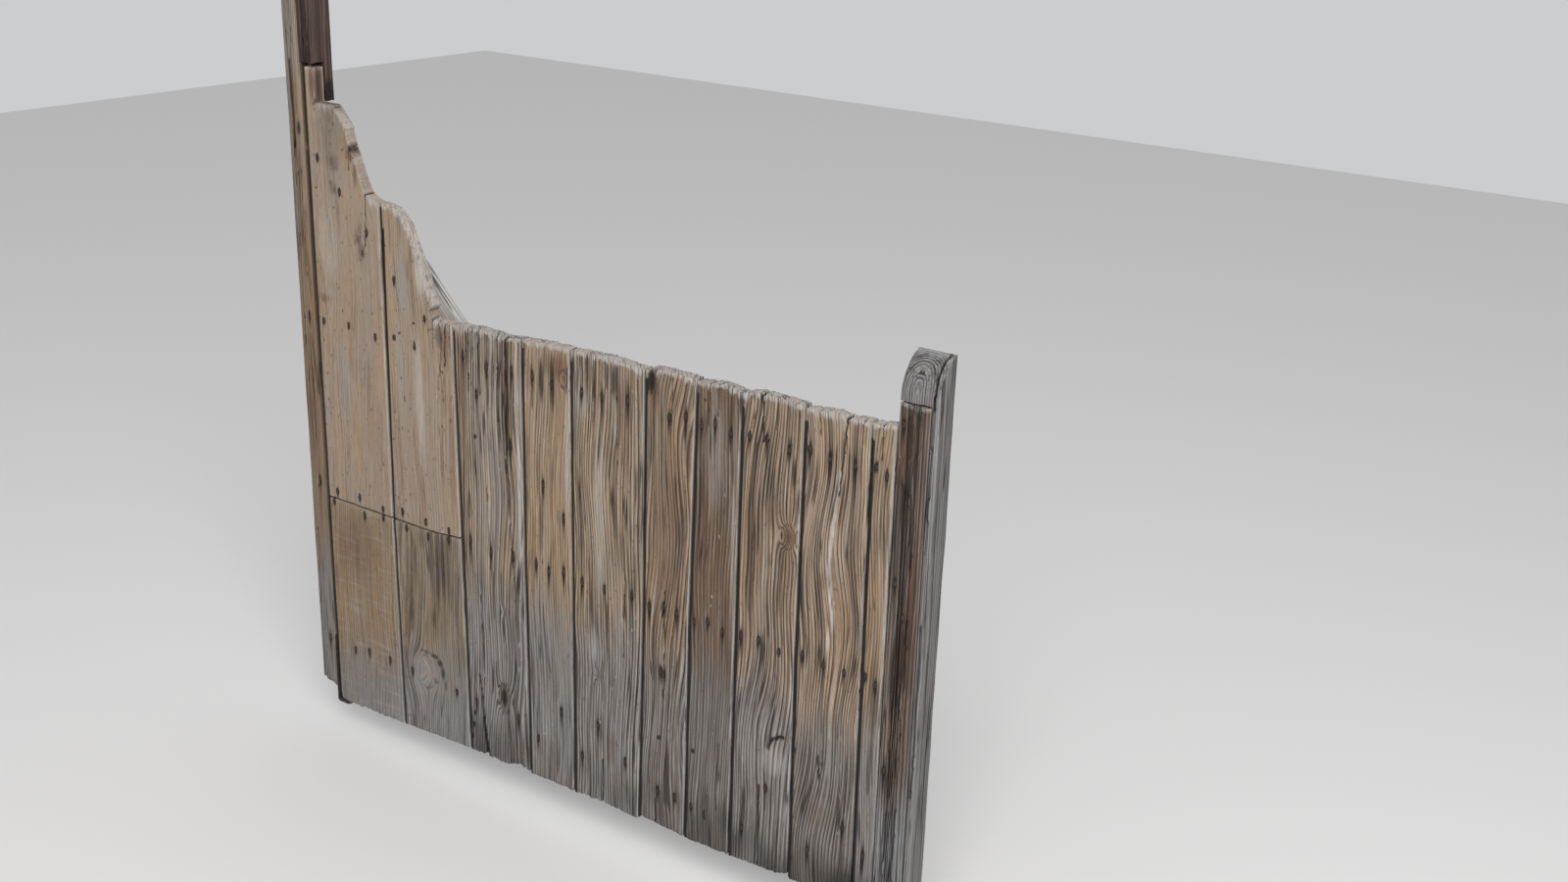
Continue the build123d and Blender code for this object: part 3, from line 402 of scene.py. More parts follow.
def timber_group():
    """Node group for bare weathered timber: rings, streaks, checks, greying, bleaching, staining, rusty
    marks, painted shade and highlight.
    """
    group = bpy.data.node_groups.new("weathered timber", "ShaderNodeTree")
    for name in COLOURS:
        group.interface.new_socket(name, in_out="INPUT", socket_type="NodeSocketColor")
    for name in AMOUNTS:
        group.interface.new_socket(name, in_out="INPUT", socket_type="NodeSocketFloat")
    for name, kind in (("Color", "Color"), ("Roughness", "Float"), ("Height", "Float")):
        group.interface.new_socket(name, in_out="OUTPUT", socket_type="NodeSocket" + kind)
    nodes, links = group.nodes, group.links
    given = nodes.new("NodeGroupInput").outputs
    result = nodes.new("NodeGroupOutput").inputs
    grain = nodes.new("ShaderNodeAttribute")
    grain.attribute_name = "grain"
    stains = nodes.new("ShaderNodeAttribute")
    stains.attribute_name = "stains"
    split = nodes.new("ShaderNodeSeparateColor")
    links.new(stains.outputs["Color"], split.inputs["Color"])
    bleach, stain, damp = split.outputs
    rust = stains.outputs["Alpha"]

    def put(socket, value):
        """Links a value to a socket, or sets it there where it is a constant."""
        if isinstance(value, bpy.types.NodeSocket):
            links.new(value, socket)
        else:
            socket.default_value = value

    def work(operation, *values):
        step = nodes.new("ShaderNodeMath")
        step.operation = operation
        for socket, value in zip(step.inputs, values):
            put(socket, value)
        return step.outputs[0]

    def times(*values):
        product = values[0]
        for value in values[1:]:
            product = work("MULTIPLY", product, value)
        return product

    def band(value, low, high):
        """Stretches a value so that low becomes 0 and high becomes 1."""
        step = nodes.new("ShaderNodeMapRange")
        step.interpolation_type = "SMOOTHSTEP"
        step.inputs["From Min"].default_value = low
        step.inputs["From Max"].default_value = high
        links.new(value, step.inputs["Value"])
        return step.outputs["Result"]

    def lay(share, under, over):
        """One colour laid over another."""
        step = nodes.new("ShaderNodeMix")
        step.data_type = "RGBA"
        put(step.inputs["Factor"], share)
        put(step.inputs["A"], under)
        put(step.inputs["B"], over)
        return step.outputs["Result"]

    def streaks(scale, detail, start):
        """Noise drawn out along the grain."""
        place = nodes.new("ShaderNodeVectorMath")
        place.operation = "MULTIPLY"
        place.inputs[1].default_value = scale
        links.new(grain.outputs["Vector"], place.inputs[0])
        field = nodes.new("ShaderNodeTexNoise")
        field.noise_dimensions = "4D"
        field.inputs["Scale"].default_value = 1.0
        field.inputs["Detail"].default_value = detail
        field.inputs["Roughness"].default_value = 0.6
        links.new(place.outputs[0], field.inputs["Vector"])
        links.new(work("ADD", given["Seed"], start), field.inputs["W"])
        return field.outputs["Fac"]

    clouds = streaks((14, 12, 6), 2.0, 53.0)
    patches = streaks((34, 26, 2.6), 2.0, 37.0)
    broad = streaks((110, 90, 3.4), 2.0, 5.0)
    fine = streaks((520, 400, 9.0), 3.0, 11.0)
    fibres = streaks((1300, 900, 60.0), 2.0, 23.0)
    # Growth rings, each with a soft inner side and a sharp outer one, some darker than others
    across = nodes.new("ShaderNodeSeparateXYZ")
    links.new(grain.outputs["Vector"], across.inputs[0])
    place = work("MULTIPLY_ADD", across.outputs[0], given["Rings per metre"], times(patches, 1.1))
    place = work("MULTIPLY_ADD", broad, 0.7, place)
    part = work("FRACT", place)
    strength = nodes.new("ShaderNodeTexWhiteNoise")
    strength.noise_dimensions = "1D"
    links.new(work("FLOOR", place), strength.inputs["W"])
    darkness = work("MULTIPLY_ADD", strength.outputs["Value"], 0.8, 0.3)
    rings = times(band(part, 0.5, 0.86), band(part, 1.0, 0.93), darkness)
    rings = times(rings, work("MULTIPLY_ADD", fine, 1.3, 0.4), given["Ring strength"])
    # Hairline checks where a wide noise crosses its middle, broken up along the grain
    middle = work("ABSOLUTE", work("SUBTRACT", streaks((95, 70, 1.9), 2.0, 71.0), 0.5))
    broken = band(streaks((40, 30, 7), 1.0, 83.0), 0.46, 0.56)
    hairs = times(band(middle, 0.026, 0.008), broken, given["Hairline checks"])
    # Colour, from the fresh wood out to the staining and painted shade that lie over everything
    dark_streaks = times(band(broad, 0.48, 0.7), given["Streaks"])
    colour = lay(times(dark_streaks, 0.9), given["Fresh"], given["Late wood"])
    grey_share = times(work("MAXIMUM", band(patches, 0.38, 0.62), band(clouds, 0.5, 0.7)), given["Greying"])
    colour = lay(times(grey_share, work("MULTIPLY_ADD", dark_streaks, -0.5, 1.0)), colour, given["Grey"])
    # Splash grey at wet feet, also used as painted shade on the lock stile's sides
    splashed = band(work("ADD", damp, work("MULTIPLY_ADD", patches, 0.7, -0.35)), 0.1, 0.85)
    colour = lay(times(splashed, 0.9), colour, given["Splashed"])
    saw_marks = band(streaks((22, 22, 120), 3.0, 91.0), 0.5, 0.7)
    colour = lay(times(saw_marks, given["Saw marks"]), colour, given["Bleached"])
    colour = lay(times(band(fine, 0.54, 0.70), given["Streaks"], 0.35), colour, given["Bleached"])
    colour = lay(times(band(fine, 0.49, 0.36), given["Streaks"], 0.85), colour, given["Late wood"])
    crests = times(band(part, 0.0, 0.12), band(part, 0.5, 0.25), fine, given["Ring strength"])
    colour = lay(times(crests, 0.4), colour, given["Bleached"])
    colour = lay(times(rings, 0.9), colour, given["Late wood"])
    dots = times(band(streaks((230, 180, 110), 1.0, 101.0), 0.66, 0.74), given["Specks"])
    colour = lay(times(dots, 0.8), colour, SPECK_COLOUR)
    # Bleached edges and ends, with the painted highlight on the right-hand arrises
    bleach_share = times(bleach, work("MULTIPLY_ADD", band(fine, 0.60, 0.42), 0.7, 0.3))
    colour = lay(bleach_share, colour, given["Bleached"])
    # Rot, with the painted shade on the tongue's side
    colour = lay(times(rust, work("MULTIPLY_ADD", fine, 0.9, 0.35)), colour, RUST_COLOUR)
    colour = lay(times(hairs, 0.85), colour, CHECK_COLOUR)
    # Near-black staining, with the painted shade of the joints, the tongue's side and the post's foot
    stain_share = band(times(stain, work("MULTIPLY_ADD", fine, 1.1, 0.45)), 0.1, 0.9)
    colour = lay(stain_share, colour, STAIN_COLOUR)
    shade = nodes.new("ShaderNodeVectorMath")
    shade.operation = "SCALE"
    links.new(colour, shade.inputs[0])
    links.new(work("MULTIPLY_ADD", fibres, 0.9, 0.58), shade.inputs["Scale"])
    links.new(shade.outputs[0], result["Color"])
    links.new(work("MULTIPLY_ADD", rings, 0.1, 0.82), result["Roughness"])
    height = work("MULTIPLY_ADD", hairs, -1.4, times(rings, -0.7))
    height = work("MULTIPLY_ADD", fine, 0.7, height)
    links.new(work("MULTIPLY_ADD", fibres, 0.2, height), result["Height"])
    return group


TIMBER = timber_group()
BUMP_STRENGTH = 0.8
BUMP_HEIGHT = 0.8 * MM
SPLASHED = (0.176, 0.171, 0.168)


def timber(name, fresh, late, grey, bleached, splashed=SPLASHED, greying=0.5, ring_count=210, rings=0.7,
           streaks=0.6, hairs=0.8, saw_marks=0.0, specks=0.5, seed=0.0):
    """Material of one kind of weathered timber."""
    material = bpy.data.materials.new(name)
    material.use_nodes = True
    nodes, links = material.node_tree.nodes, material.node_tree.links
    shader = nodes["Principled BSDF"]
    shader.inputs["Specular IOR Level"].default_value = 0.25
    finish = nodes.new("ShaderNodeGroup")
    finish.node_tree = TIMBER
    for socket, value in zip(COLOURS, (fresh, late, grey, bleached, splashed)):
        finish.inputs[socket].default_value = (*value, 1.0)
    for socket, value in zip(AMOUNTS, (greying, ring_count, rings, streaks, hairs, saw_marks, specks, seed)):
        finish.inputs[socket].default_value = value
    relief = nodes.new("ShaderNodeBump")
    relief.inputs["Strength"].default_value = BUMP_STRENGTH
    relief.inputs["Distance"].default_value = BUMP_HEIGHT
    links.new(finish.outputs["Color"], shader.inputs["Base Color"])
    links.new(finish.outputs["Roughness"], shader.inputs["Roughness"])
    links.new(finish.outputs["Height"], relief.inputs["Height"])
    links.new(relief.outputs["Normal"], shader.inputs["Normal"])
    return material


def finish_timber(piece, body, node, material):
    """Gives a worn piece its material and puts it in its solid's place."""
    piece.data.materials.append(material)
    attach(piece, body)
    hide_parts(node)


jamb = sliced_copy("jamb_board", "jamb", JAMB_CELLS)
# The jamb's sides are darkened deep into the gaps up to 1190 mm, painted shade with some grime.
weather(jamb, 1.7, wear=1.8, head_rot=0.0, foot_rot=6.0, relief=0.4, pith=(0.09, 0.06, 0.01, 0.0),
        checks=JAMB_CHECKS, nails=nail_places("jamb_nails"), marks=JAMB_MARKS, damp_top=420,
        bleach_sides=(0.2, 0.5), dirt=0.6, dirt_top=1190)
jamb_wood = timber("jamb wood", (0.205, 0.138, 0.084), (0.068, 0.044, 0.028), (0.150, 0.122, 0.096),
                   (0.320, 0.255, 0.190), greying=0.4, ring_count=260, rings=0.5, streaks=0.7, seed=3.0)
finish_timber(jamb, "frame", "jamb_board", jamb_wood)


# Head post. A dark reddish post, tarred long ago, whose front stops over the leaf's tongue. Its rear part
# reaches lower and has rotted hollow at its end.
POST_CELLS = (2.5 * MM, 4 * MM, 5 * MM)
POST_CHECKS = ((33, 1190, 34, 1350, 2.4, 8), (42, 1215, 44, 1330, 1.8, 6))
POST_MARKS = dict(black=((40, 1200, 14, 16, 0.7),), hollow=((46, 1132, 8, 8, 1.0),))
# The first black side mark, at the post's foot over the plank's top, is painted shade of the recess there,
# over rot.
POST_SIDE_MARKS = dict(black=((40, 1138, 60, 22, 0.8), (18, 1260, 5, 160, 0.5)))

post = sliced_copy("head_post", "post", POST_CELLS)
weather(post, 8.3, wear=2.2, head_rot=0.0, relief=0.5, pith=(0.01, 0.03, 0.02, 0.01), checks=POST_CHECKS,
        marks=POST_MARKS, side_marks=POST_SIDE_MARKS, bleach_ends=0.0, bleach_sides=(0.2, 0.5), dirt=0.0)
post_wood = timber("post wood", (0.072, 0.040, 0.031), (0.020, 0.012, 0.010), (0.082, 0.060, 0.052),
                   (0.180, 0.128, 0.112), greying=0.4, ring_count=240, rings=1.1, streaks=1.1, hairs=1.0,
                   seed=9.0)
finish_timber(post, "frame", "head_post", post_wood)


# Boards of the leaf. Sawn softwood, bare, with the heads bleached white, the feet grey from splashed
# water, black streaks under the nails and hard rings standing proud of the soft wood between them.
BOARD_CELLS = (2 * MM, 8 * MM, 8 * MM)
FINE_CELLS = (2 * MM, 8 * MM, 4 * MM)
NAIL_MARGIN = 20 * MM
LEAF_NAILS = nail_places("top_rail_nails", "middle_rail_nails", "bottom_rail_nails", "brace_nails")
CREAM = (0.290, 0.208, 0.140)
LATE = (0.052, 0.034, 0.023)
SILVER = (0.195, 0.170, 0.143)
BLEACHED = (0.450, 0.435, 0.415)
DULL_CREAM = (0.250, 0.235, 0.215)
# Every board gets painted shade and grime beside its joints and a painted highlight on its right-hand arris.
BOARD_HABITS = dict(wear=1.2, head_rot=4.0, foot_rot=4.0, relief=0.4, sway=12.0, damp_top=480,
                    bleach_ends=0.72, joint_dirt=1.0, foot_grime=0.6)
FINISHES = ("splashed", "greying", "ring_count", "rings", "streaks", "hairs", "saw_marks", "specks")
leaf_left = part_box("plank_1_upper")[0].x / MM


def from_leaf(**marks):
    """Marks measured from the leaf's left edge, moved to the frame's own place."""
    return {kind: [(x + leaf_left, *rest) for x, *rest in group] for kind, group in marks.items()}


def moved(checks, left):
    """Checks measured from a left edge, moved to the frame's own place."""
    return [(x0 + left, z0, x1 + left, *rest) for x0, z0, x1, *rest in checks]


def board(node, seed, fresh, late=LATE, silver=SILVER, slot="old_boards", cells=BOARD_CELLS, knots=(),
          checks=(), black=(), rust=(), pale=(), grey=(), hollow=(), **given):
    """One weathered board in its place on the leaf, its flaws measured from the leaf's left edge.

    The marks are given by kind. What else is given goes to its timber where FINISHES names it, and to its
    weathering otherwise.
    """
    name = node.replace("plank", "board")
    low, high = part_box(node)
    piece = sliced_copy(node, name, cells)
    nails = [nail for nail in LEAF_NAILS
             if low.x < nail.x < high.x and low.z - NAIL_MARGIN < nail.y < high.z + NAIL_MARGIN]
    knots = [(x + leaf_left, *rest) for x, *rest in knots]
    marks = from_leaf(black=black, rust=rust, pale=pale, grey=grey, hollow=hollow)
    finish = {key: value for key, value in given.items() if key in FINISHES}
    habits = {key: value for key, value in given.items() if key not in FINISHES}
    weather(piece, seed, knots=knots, checks=moved(checks, leaf_left), nails=nails, marks=marks,
            **{**BOARD_HABITS, **habits})
    finish_timber(piece, "leaf", node,
                  timber(name + " wood", fresh, late, silver, BLEACHED, seed=seed, **finish))


board("plank_1_upper", 2.1, CREAM, late=(0.190, 0.120, 0.070), silver=(0.238, 0.214, 0.186),
      slot="pale_boards", pith=(-0.12, 0.08, 0.02, 0.0), splashed=DULL_CREAM,
      knots=((125, 884, 12, 22, 1.0), (118, 908, 8, 14, 1.0)),
      checks=((139, 984, 134, 896, 2.0, 7), (103, 1058, 101, 1020, 1.6, 5), (70, 1122, 68, 1092, 1.4, 5)),
      black=((64, 1085, 50, 90, 0.34), (28, 1126, 4, 8, 0.6), (107, 1057, 6, 6, 0.9), (125, 880, 4, 10, 0.7),
             (117, 901, 4, 10, 0.55), (133, 904, 3, 14, 0.6), (108, 896, 3, 6, 0.45), (57, 1033, 6, 4, 0.45),
             (70, 1018, 5, 4, 0.45), (53, 991, 5, 4, 0.45), (63, 980, 3, 6, 0.5), (20, 778, 8, 4, 0.4)),
      # The first rot mark, on the right of the tongue's front, is painted shade from the post.
      rust=((21, 1155, 7, 34, 0.9), (106, 1048, 9, 14, 0.95), (116, 1018, 5, 26, 0.7),
            (122, 916, 5, 18, 0.5), (60, 1100, 4, 10, 0.5), (64, 1026, 13, 14, 0.6), (60, 984, 11, 13, 0.55),
            (122, 882, 9, 18, 0.5), (110, 905, 5, 13, 0.5), (24, 784, 14, 7, 0.5)),
      pale=((40, 880, 30, 60, 0.3),),
      grey=((76, 1018, 20, 28, 0.4), (70, 980, 16, 24, 0.4), (30, 792, 30, 16, 0.4), (60, 640, 24, 90, 0.6)),
      # The rot and black marks at 1152 on the tongue's side face are painted shade and the post's shadow,
      # over some red rot.
      side_marks=dict(rust=((11, 1152, 40, 36, 1.0), (11, 1054, 40, 12, 0.9), (11, 1010, 40, 26, 0.4)),
                      black=((11, 1152, 40, 36, 0.5), (11, 1056, 40, 7, 0.6)),
                      pale=((11, 1098, 40, 20, 0.5), (11, 1000, 40, 40, 0.4))),
      head_rot=1.5, foot_rot=0.8, cells=FINE_CELLS, damp_top=0, bleach_ends=0.55, relief=0.25, dirt_top=968,
      joint_top=1190, greying=0.55, rings=0.2, streaks=0.4, hairs=0.3, specks=1.0, nail_run=0.3)
board("plank_2_upper", 5.4, CREAM, late=(0.170, 0.105, 0.060), silver=(0.238, 0.214, 0.186),
      slot="pale_boards", pith=(0.13, 0.08, -0.02, 0.0), splashed=DULL_CREAM,
      checks=((300, 800, 306, 757, 2.2, 7), (306, 757, 300, 700, 2.0, 7), (288, 805, 284, 740, 1.6, 5),
              (316, 798, 312, 720, 2.4, 7), (326, 796, 326, 740, 1.6, 5), (296, 700, 292, 650, 1.2, 4)),
      black=((300, 770, 10, 26, 0.5),), rust=((314, 760, 12, 50, 0.55), (322, 560, 6, 120, 0.45)),
      pale=((262, 880, 12, 50, 0.9), (250, 640, 10, 120, 0.5)),
      grey=((215, 840, 18, 60, 0.7), (205, 700, 12, 120, 0.6)), foot_rot=0.8, damp_top=0, bleach_ends=0.7,
      relief=0.3, joint_top=930, rings=0.3, streaks=0.5, hairs=0.4, specks=1.0, nail_run=0.4)
board("plank_1_lower", 3.3, (0.231, 0.154, 0.083), late=(0.120, 0.078, 0.048), pith=(0.12, 0.08, 0.01, 0.0),
      black=((12, 250, 8, 30, 0.35),), rust=((70, 330, 50, 60, 0.35),), head_rot=0.6, damp_top=240,
      bleach_ends=0.1, greying=0.35, rings=0.35, streaks=0.5, saw_marks=0.16, hairs=0.3, foot_grime=0.0,
      nail_run=0.4)
board("plank_2_lower", 6.1, (0.209, 0.147, 0.090), pith=(-0.09, 0.06, 0.02, 0.0),
      knots=((240, 122, 44, 60, 0.15),),
      black=((262, 350, 7, 90, 0.5), (276, 330, 6, 110, 0.55), (290, 350, 7, 80, 0.6),
             (303, 330, 6, 90, 0.45), (268, 230, 20, 50, 0.3), (240, 390, 10, 30, 0.4),
             (238, 163, 15, 5, 0.5), (261, 160, 12, 6, 0.62), (274, 150, 8, 9, 0.66),
             (281, 133, 6, 14, 0.66), (286, 110, 5, 14, 0.5), (204, 123, 5, 9, 0.4), (262, 110, 7, 6, 0.5)),
      pale=((236, 116, 34, 44, 0.22), (176, 300, 4, 140, 0.7)), head_rot=0.6, damp_top=300, bleach_ends=0.1,
      foot_grime=0.0, nail_run=0.4, cells=FINE_CELLS, rings=0.5, streaks=0.7, hairs=0.7)
board("plank_3", 7.7, (0.272, 0.193, 0.123), pith=(0.09, 0.045, 0.01, 0.0),
      knots=((431, 134, 26, 56, 1.0), (436, 300, 10, 18, 1.0)),
      checks=((389, 796, 391, 690, 2.4, 8), (453, 792, 449, 560, 3.4, 9), (449, 560, 462, 330, 2.0, 6),
              (434, 796, 432, 650, 2.0, 6), (368, 797, 366, 690, 1.8, 6), (379, 796, 377, 738, 1.8, 6),
              (412, 794, 410, 720, 1.8, 6), (424, 794, 423, 700, 1.4, 5), (384, 152, 380, 330, 1.8, 6),
              (402, 520, 404, 380, 1.4, 4), (440, 110, 444, 10, 2.0, 6), (390, 4, 372, 160, 2.6, 7)),
      black=((450, 700, 5, 110, 0.5), (366, 760, 8, 40, 0.4), (446, 300, 8, 60, 0.3), (431, 134, 8, 22, 0.8),
             (439, 106, 3, 10, 0.6)),
      rust=((443, 720, 4, 90, 0.75), (350, 690, 8, 140, 0.4), (431, 140, 10, 20, 0.5)),
      pale=((476, 560, 4, 260, 0.75), (410, 560, 30, 190, 0.25)), foot_rot=6.0, relief=0.8, foot_grime=0.5,
      greying=0.7, ring_count=190, rings=1.0, streaks=1.0, hairs=1.0)
board("plank_4", 9.2, (0.310, 0.208, 0.119), pith=(-0.10, 0.06, 0.01, 0.0), knots=((576, 752, 18, 30, 1.0),),
      checks=((508, 760, 509, 690, 1.6, 5), (526, 540, 525, 420, 1.4, 4), (584, 768, 584, 720, 1.6, 5)),
      black=((529, 738, 6, 40, 0.7), (552, 735, 6, 50, 0.75), (580, 748, 6, 22, 0.5),
             (500, 420, 6, 40, 0.3)),
      rust=((560, 768, 26, 20, 0.7), (500, 745, 14, 30, 0.4)), pale=((581, 620, 4, 130, 0.6),),
      foot_grime=0.3, greying=0.4, ring_count=200, rings=0.6, streaks=0.75, hairs=0.6)
board("plank_5", 11.5, (0.301, 0.207, 0.121), pith=(0.11, 0.06, 0.0, 0.0), knots=((648, 250, 14, 20, 1.0),),
      checks=((686, 800, 688, 640, 1.4, 5), (703, 430, 700, 300, 1.8, 6), (656, 90, 656, 10, 2.4, 7),
              (612, 798, 611, 740, 1.4, 4), (640, 796, 640, 730, 1.4, 4), (664, 796, 664, 752, 1.4, 4)),
      black=((681, 770, 6, 32, 0.62), (668, 778, 5, 22, 0.45), (709, 742, 6, 42, 0.62),
             (655, 742, 5, 26, 0.5), (692, 720, 8, 60, 0.4), (686, 640, 5, 110, 0.35)),
      rust=((700, 700, 10, 90, 0.35), (676, 120, 8, 30, 0.5)),
      pale=((620, 720, 20, 26, 0.3), (650, 540, 12, 150, 0.4), (636, 300, 8, 30, 0.45)), relief=0.7,
      foot_grime=0.4, greying=0.55, ring_count=200, rings=1.1, streaks=1.1, hairs=1.0)
board("plank_6", 13.9, (0.248, 0.156, 0.083), pith=(0.07, 0.05, 0.04, 0.01), splashed=(0.160, 0.147, 0.137),
      knots=((759, 782, 16, 34, 1.0),),
      checks=((785, 440, 786, 330, 1.8, 6), (784, 305, 785, 250, 2.8, 8), (781, 420, 781, 400, 3.0, 8),
              (770, 60, 771, 10, 2.4, 6), (796, 798, 795, 730, 1.6, 5)),
      black=((812, 430, 8, 60, 0.35),),
      rust=((760, 776, 14, 30, 0.7), (829, 690, 5, 50, 0.7), (790, 560, 30, 150, 0.4)),
      hollow=((754, 786, 7, 24, 0.9), (781, 412, 4, 12, 0.8), (784, 291, 4, 20, 0.8)), foot_rot=5.0,
      relief=0.7, sway=30.0, foot_grime=0.45, greying=0.45, ring_count=190, rings=1.0, streaks=1.1,
      hairs=1.0)
board("plank_7", 15.2, (0.120, 0.070, 0.037), silver=(0.118, 0.093, 0.070), pith=(-0.09, 0.05, 0.01, 0.0),
      splashed=(0.118, 0.110, 0.103),
      checks=((868, 812, 866, 742, 1.8, 6), (896, 200, 895, 90, 1.6, 5), (884, 812, 884, 760, 1.4, 4)),
      black=((858, 640, 6, 60, 0.4),), rust=((862, 540, 12, 120, 0.35),),
      pale=((880, 700, 16, 90, 0.25), (916, 600, 2.5, 180, 0.5)), grey=((891, 210, 8, 40, 0.6),),
      greying=0.2, rings=0.8, streaks=0.85, hairs=0.9)
# The crescent-shaped hollow low on the eighth board
CRESCENT = [(x, z, 3.5, 4.5, 0.85) for x, z in (
    (992, 233), (993, 239), (996, 245), (1000, 250), (1005, 254), (1010, 257), (1015, 259), (1020, 260))]
board("plank_8", 18.8, (0.260, 0.169, 0.096), pith=(0.08, 0.05, 0.01, 0.0),
      knots=((1017, 598, 24, 38, 1.0),),
      checks=((965, 811, 968, 738, 2.4, 8), (978, 160, 980, 20, 2.4, 7), (992, 812, 990, 760, 1.4, 4),
              (948, 812, 950, 770, 1.4, 4)),
      black=((985, 650, 10, 60, 0.5), (1015, 738, 5, 22, 0.7), (1024, 700, 5, 28, 0.7),
             (1035, 660, 4, 26, 0.6), (1001, 572, 7, 28, 0.35), (986, 552, 6, 14, 0.4),
             (1030, 640, 4, 34, 0.45)),
      rust=((1016, 560, 10, 70, 0.35), (950, 560, 14, 120, 0.35), (1017, 598, 11, 15, 0.8)),
      pale=((1005, 215, 24, 24, 0.4),), hollow=CRESCENT, relief=0.7, sway=24.0, cells=FINE_CELLS,
      greying=0.4, ring_count=200, rings=1.1, streaks=1.1, hairs=1.0)
# The pale line that winds down the ninth board
PALE_LINE = [(x, z, 3.5, 24, 0.85) for x, z in (
    (1102, 700), (1098, 665), (1095, 628), (1092, 592), (1090, 556), (1095, 522), (1100, 488), (1096, 452))]
board("plank_9", 21.4, (0.340, 0.226, 0.136), pith=(0.008, 0.005, -0.01, 0.0),
      splashed=(0.122, 0.117, 0.112),
      checks=((1113, 811, 1104, 690, 2.4, 8), (1086, 250, 1090, 210, 2.4, 6), (1066, 812, 1066, 770, 1.4, 4),
              (1140, 812, 1139, 775, 1.4, 4)),
      black=((1094, 262, 5, 9, 0.45),),
      rust=((1082, 545, 10, 16, 0.5), (1060, 160, 26, 26, 0.3), (1090, 150, 24, 20, 0.3),
            (1130, 560, 12, 130, 0.3)),
      pale=PALE_LINE, hollow=((1093, 240, 4, 10, 0.6),), relief=0.7, sway=28.0, rings=1.0, streaks=1.1,
      hairs=1.0)
board("plank_10", 24.6, (0.254, 0.164, 0.090), pith=(0.10, 0.05, 0.0, 0.0),
      checks=((1172, 812, 1172, 760, 1.4, 4),), black=((1180, 400, 8, 60, 0.35),),
      pale=((1191, 560, 2.5, 260, 0.7), (1157, 600, 3, 200, 0.5)), greying=0.35, rings=0.8, streaks=0.8,
      hairs=0.7)


# Lock stile. A heavy grey post with a rounded head, cut near the tree's heart, so that its rings show as
# arcs on the head. A deep check runs over the head and down beside the cover strip.
STILE_CELLS = (2 * MM, 4 * MM, 8 * MM)
STILE_PITH = (-0.003, -0.001, 0.0, 0.0)
STILE_CHECKS = ((54, 640, 55, 790, 1.8, 6), (57, 250, 56, 520, 1.8, 6), (53, 925, 55, 850, 2.6, 9))
stile_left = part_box("lock_stile")[0].x / MM

stile = sliced_copy("lock_stile", "stile", STILE_CELLS)
weather(stile, 27.0, wear=1.8, head_rot=1.0, foot_rot=4.0, relief=0.6, pith=STILE_PITH,
        checks=moved(STILE_CHECKS, stile_left), bleach_ends=0.6, dirt=0.0,
        # The sides and ends are laid with the stile's darker splash grey: painted shade.
        side_marks=dict(grey=((30, 450, 90, 900, 0.5),),
                        black=((14, 560, 2, 120, 0.8), (27, 300, 2, 160, 0.7), (24, 820, 2, 60, 0.6))))
stile_wood = timber("stile wood", (0.165, 0.155, 0.148), (0.040, 0.036, 0.034), (0.185, 0.178, 0.172),
                    (0.340, 0.330, 0.322), splashed=(0.100, 0.095, 0.091), greying=0.6, ring_count=260,
                    rings=1.0, streaks=0.95, hairs=1.0, seed=31.0)
finish_timber(stile, "leaf", "lock_stile", stile_wood)


# Cover strip. A moulded lath of darker, redder wood with worn grooves, nailed over the joint between
# the boards and the stile.
STRIP_CELLS = (1.7 * MM, 5 * MM, 8 * MM)
STRIP_GROOVES = (15, 19, 22.5, 26, 30, 33)
strip_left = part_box("cover_strip")[0].x / MM

strip = sliced_copy("cover_strip", "strip", STRIP_CELLS)
weather(strip, 33.0, foot_rot=5.0, relief=0.6, pith=(0.07, 0.05, 0.0, 0.0),
        knots=((leaf_left + 1207, 766, 9, 14, 1.0), (leaf_left + 1203, 735, 8, 12, 1.0)),
        checks=moved([(groove, 30 + 17 * (groove % 4), groove, 836, 1.1, 3.5) for groove in STRIP_GROOVES],
                     strip_left),
        marks=from_leaf(black=((1212, 430, 8, 90, 0.75), (1204, 640, 8, 120, 0.5)),
                        rust=((1228, 560, 6, 130, 0.9), (1207, 766, 8, 60, 0.6))),
        nails=nail_places("strip_nails"), damp_top=360, bleach_ends=0.9, bleach_sides=(0.2, 0.6))
strip_wood = timber("strip wood", (0.118, 0.074, 0.050), (0.022, 0.016, 0.013), (0.125, 0.118, 0.112),
                    (0.340, 0.310, 0.285), splashed=(0.210, 0.214, 0.222), greying=0.4, ring_count=230,
                    rings=0.9, streaks=0.9, hairs=1.0, seed=37.0)
finish_timber(strip, "leaf", "cover_strip", strip_wood)


# Frame of the leaf. Two stiles, three rails and a brace in three lengths, behind the boards and out of
# the weather, browner and less worn.
SHELTERED = dict(head_rot=0.0, foot_rot=0.0, bleach_ends=0.0, dirt=0.0)
RAIL_CELLS = (12 * MM, 8 * MM, 6 * MM)
INNER_STILE_CELLS = (4 * MM, 8 * MM, 10 * MM)
BRACE_CELLS = (5 * MM, 6 * MM, 5 * MM)
BRACE_PITH = (0.0, 0.05, -1.0, 0.0)
frame_wood = timber("frame wood", (0.215, 0.160, 0.112), (0.075, 0.052, 0.036), (0.180, 0.165, 0.150),
                    (0.400, 0.385, 0.365), streaks=0.7, seed=41.0)

for index, node in enumerate(("top_rail", "middle_rail", "bottom_rail")):
    rail = sliced_copy(node, node.replace("_rail", "_ledge"), RAIL_CELLS, long_axis=0)
    weather(rail, 43.0 + index, long_axis=0, wear=1.2, **SHELTERED)
    finish_timber(rail, "leaf", node, frame_wood)

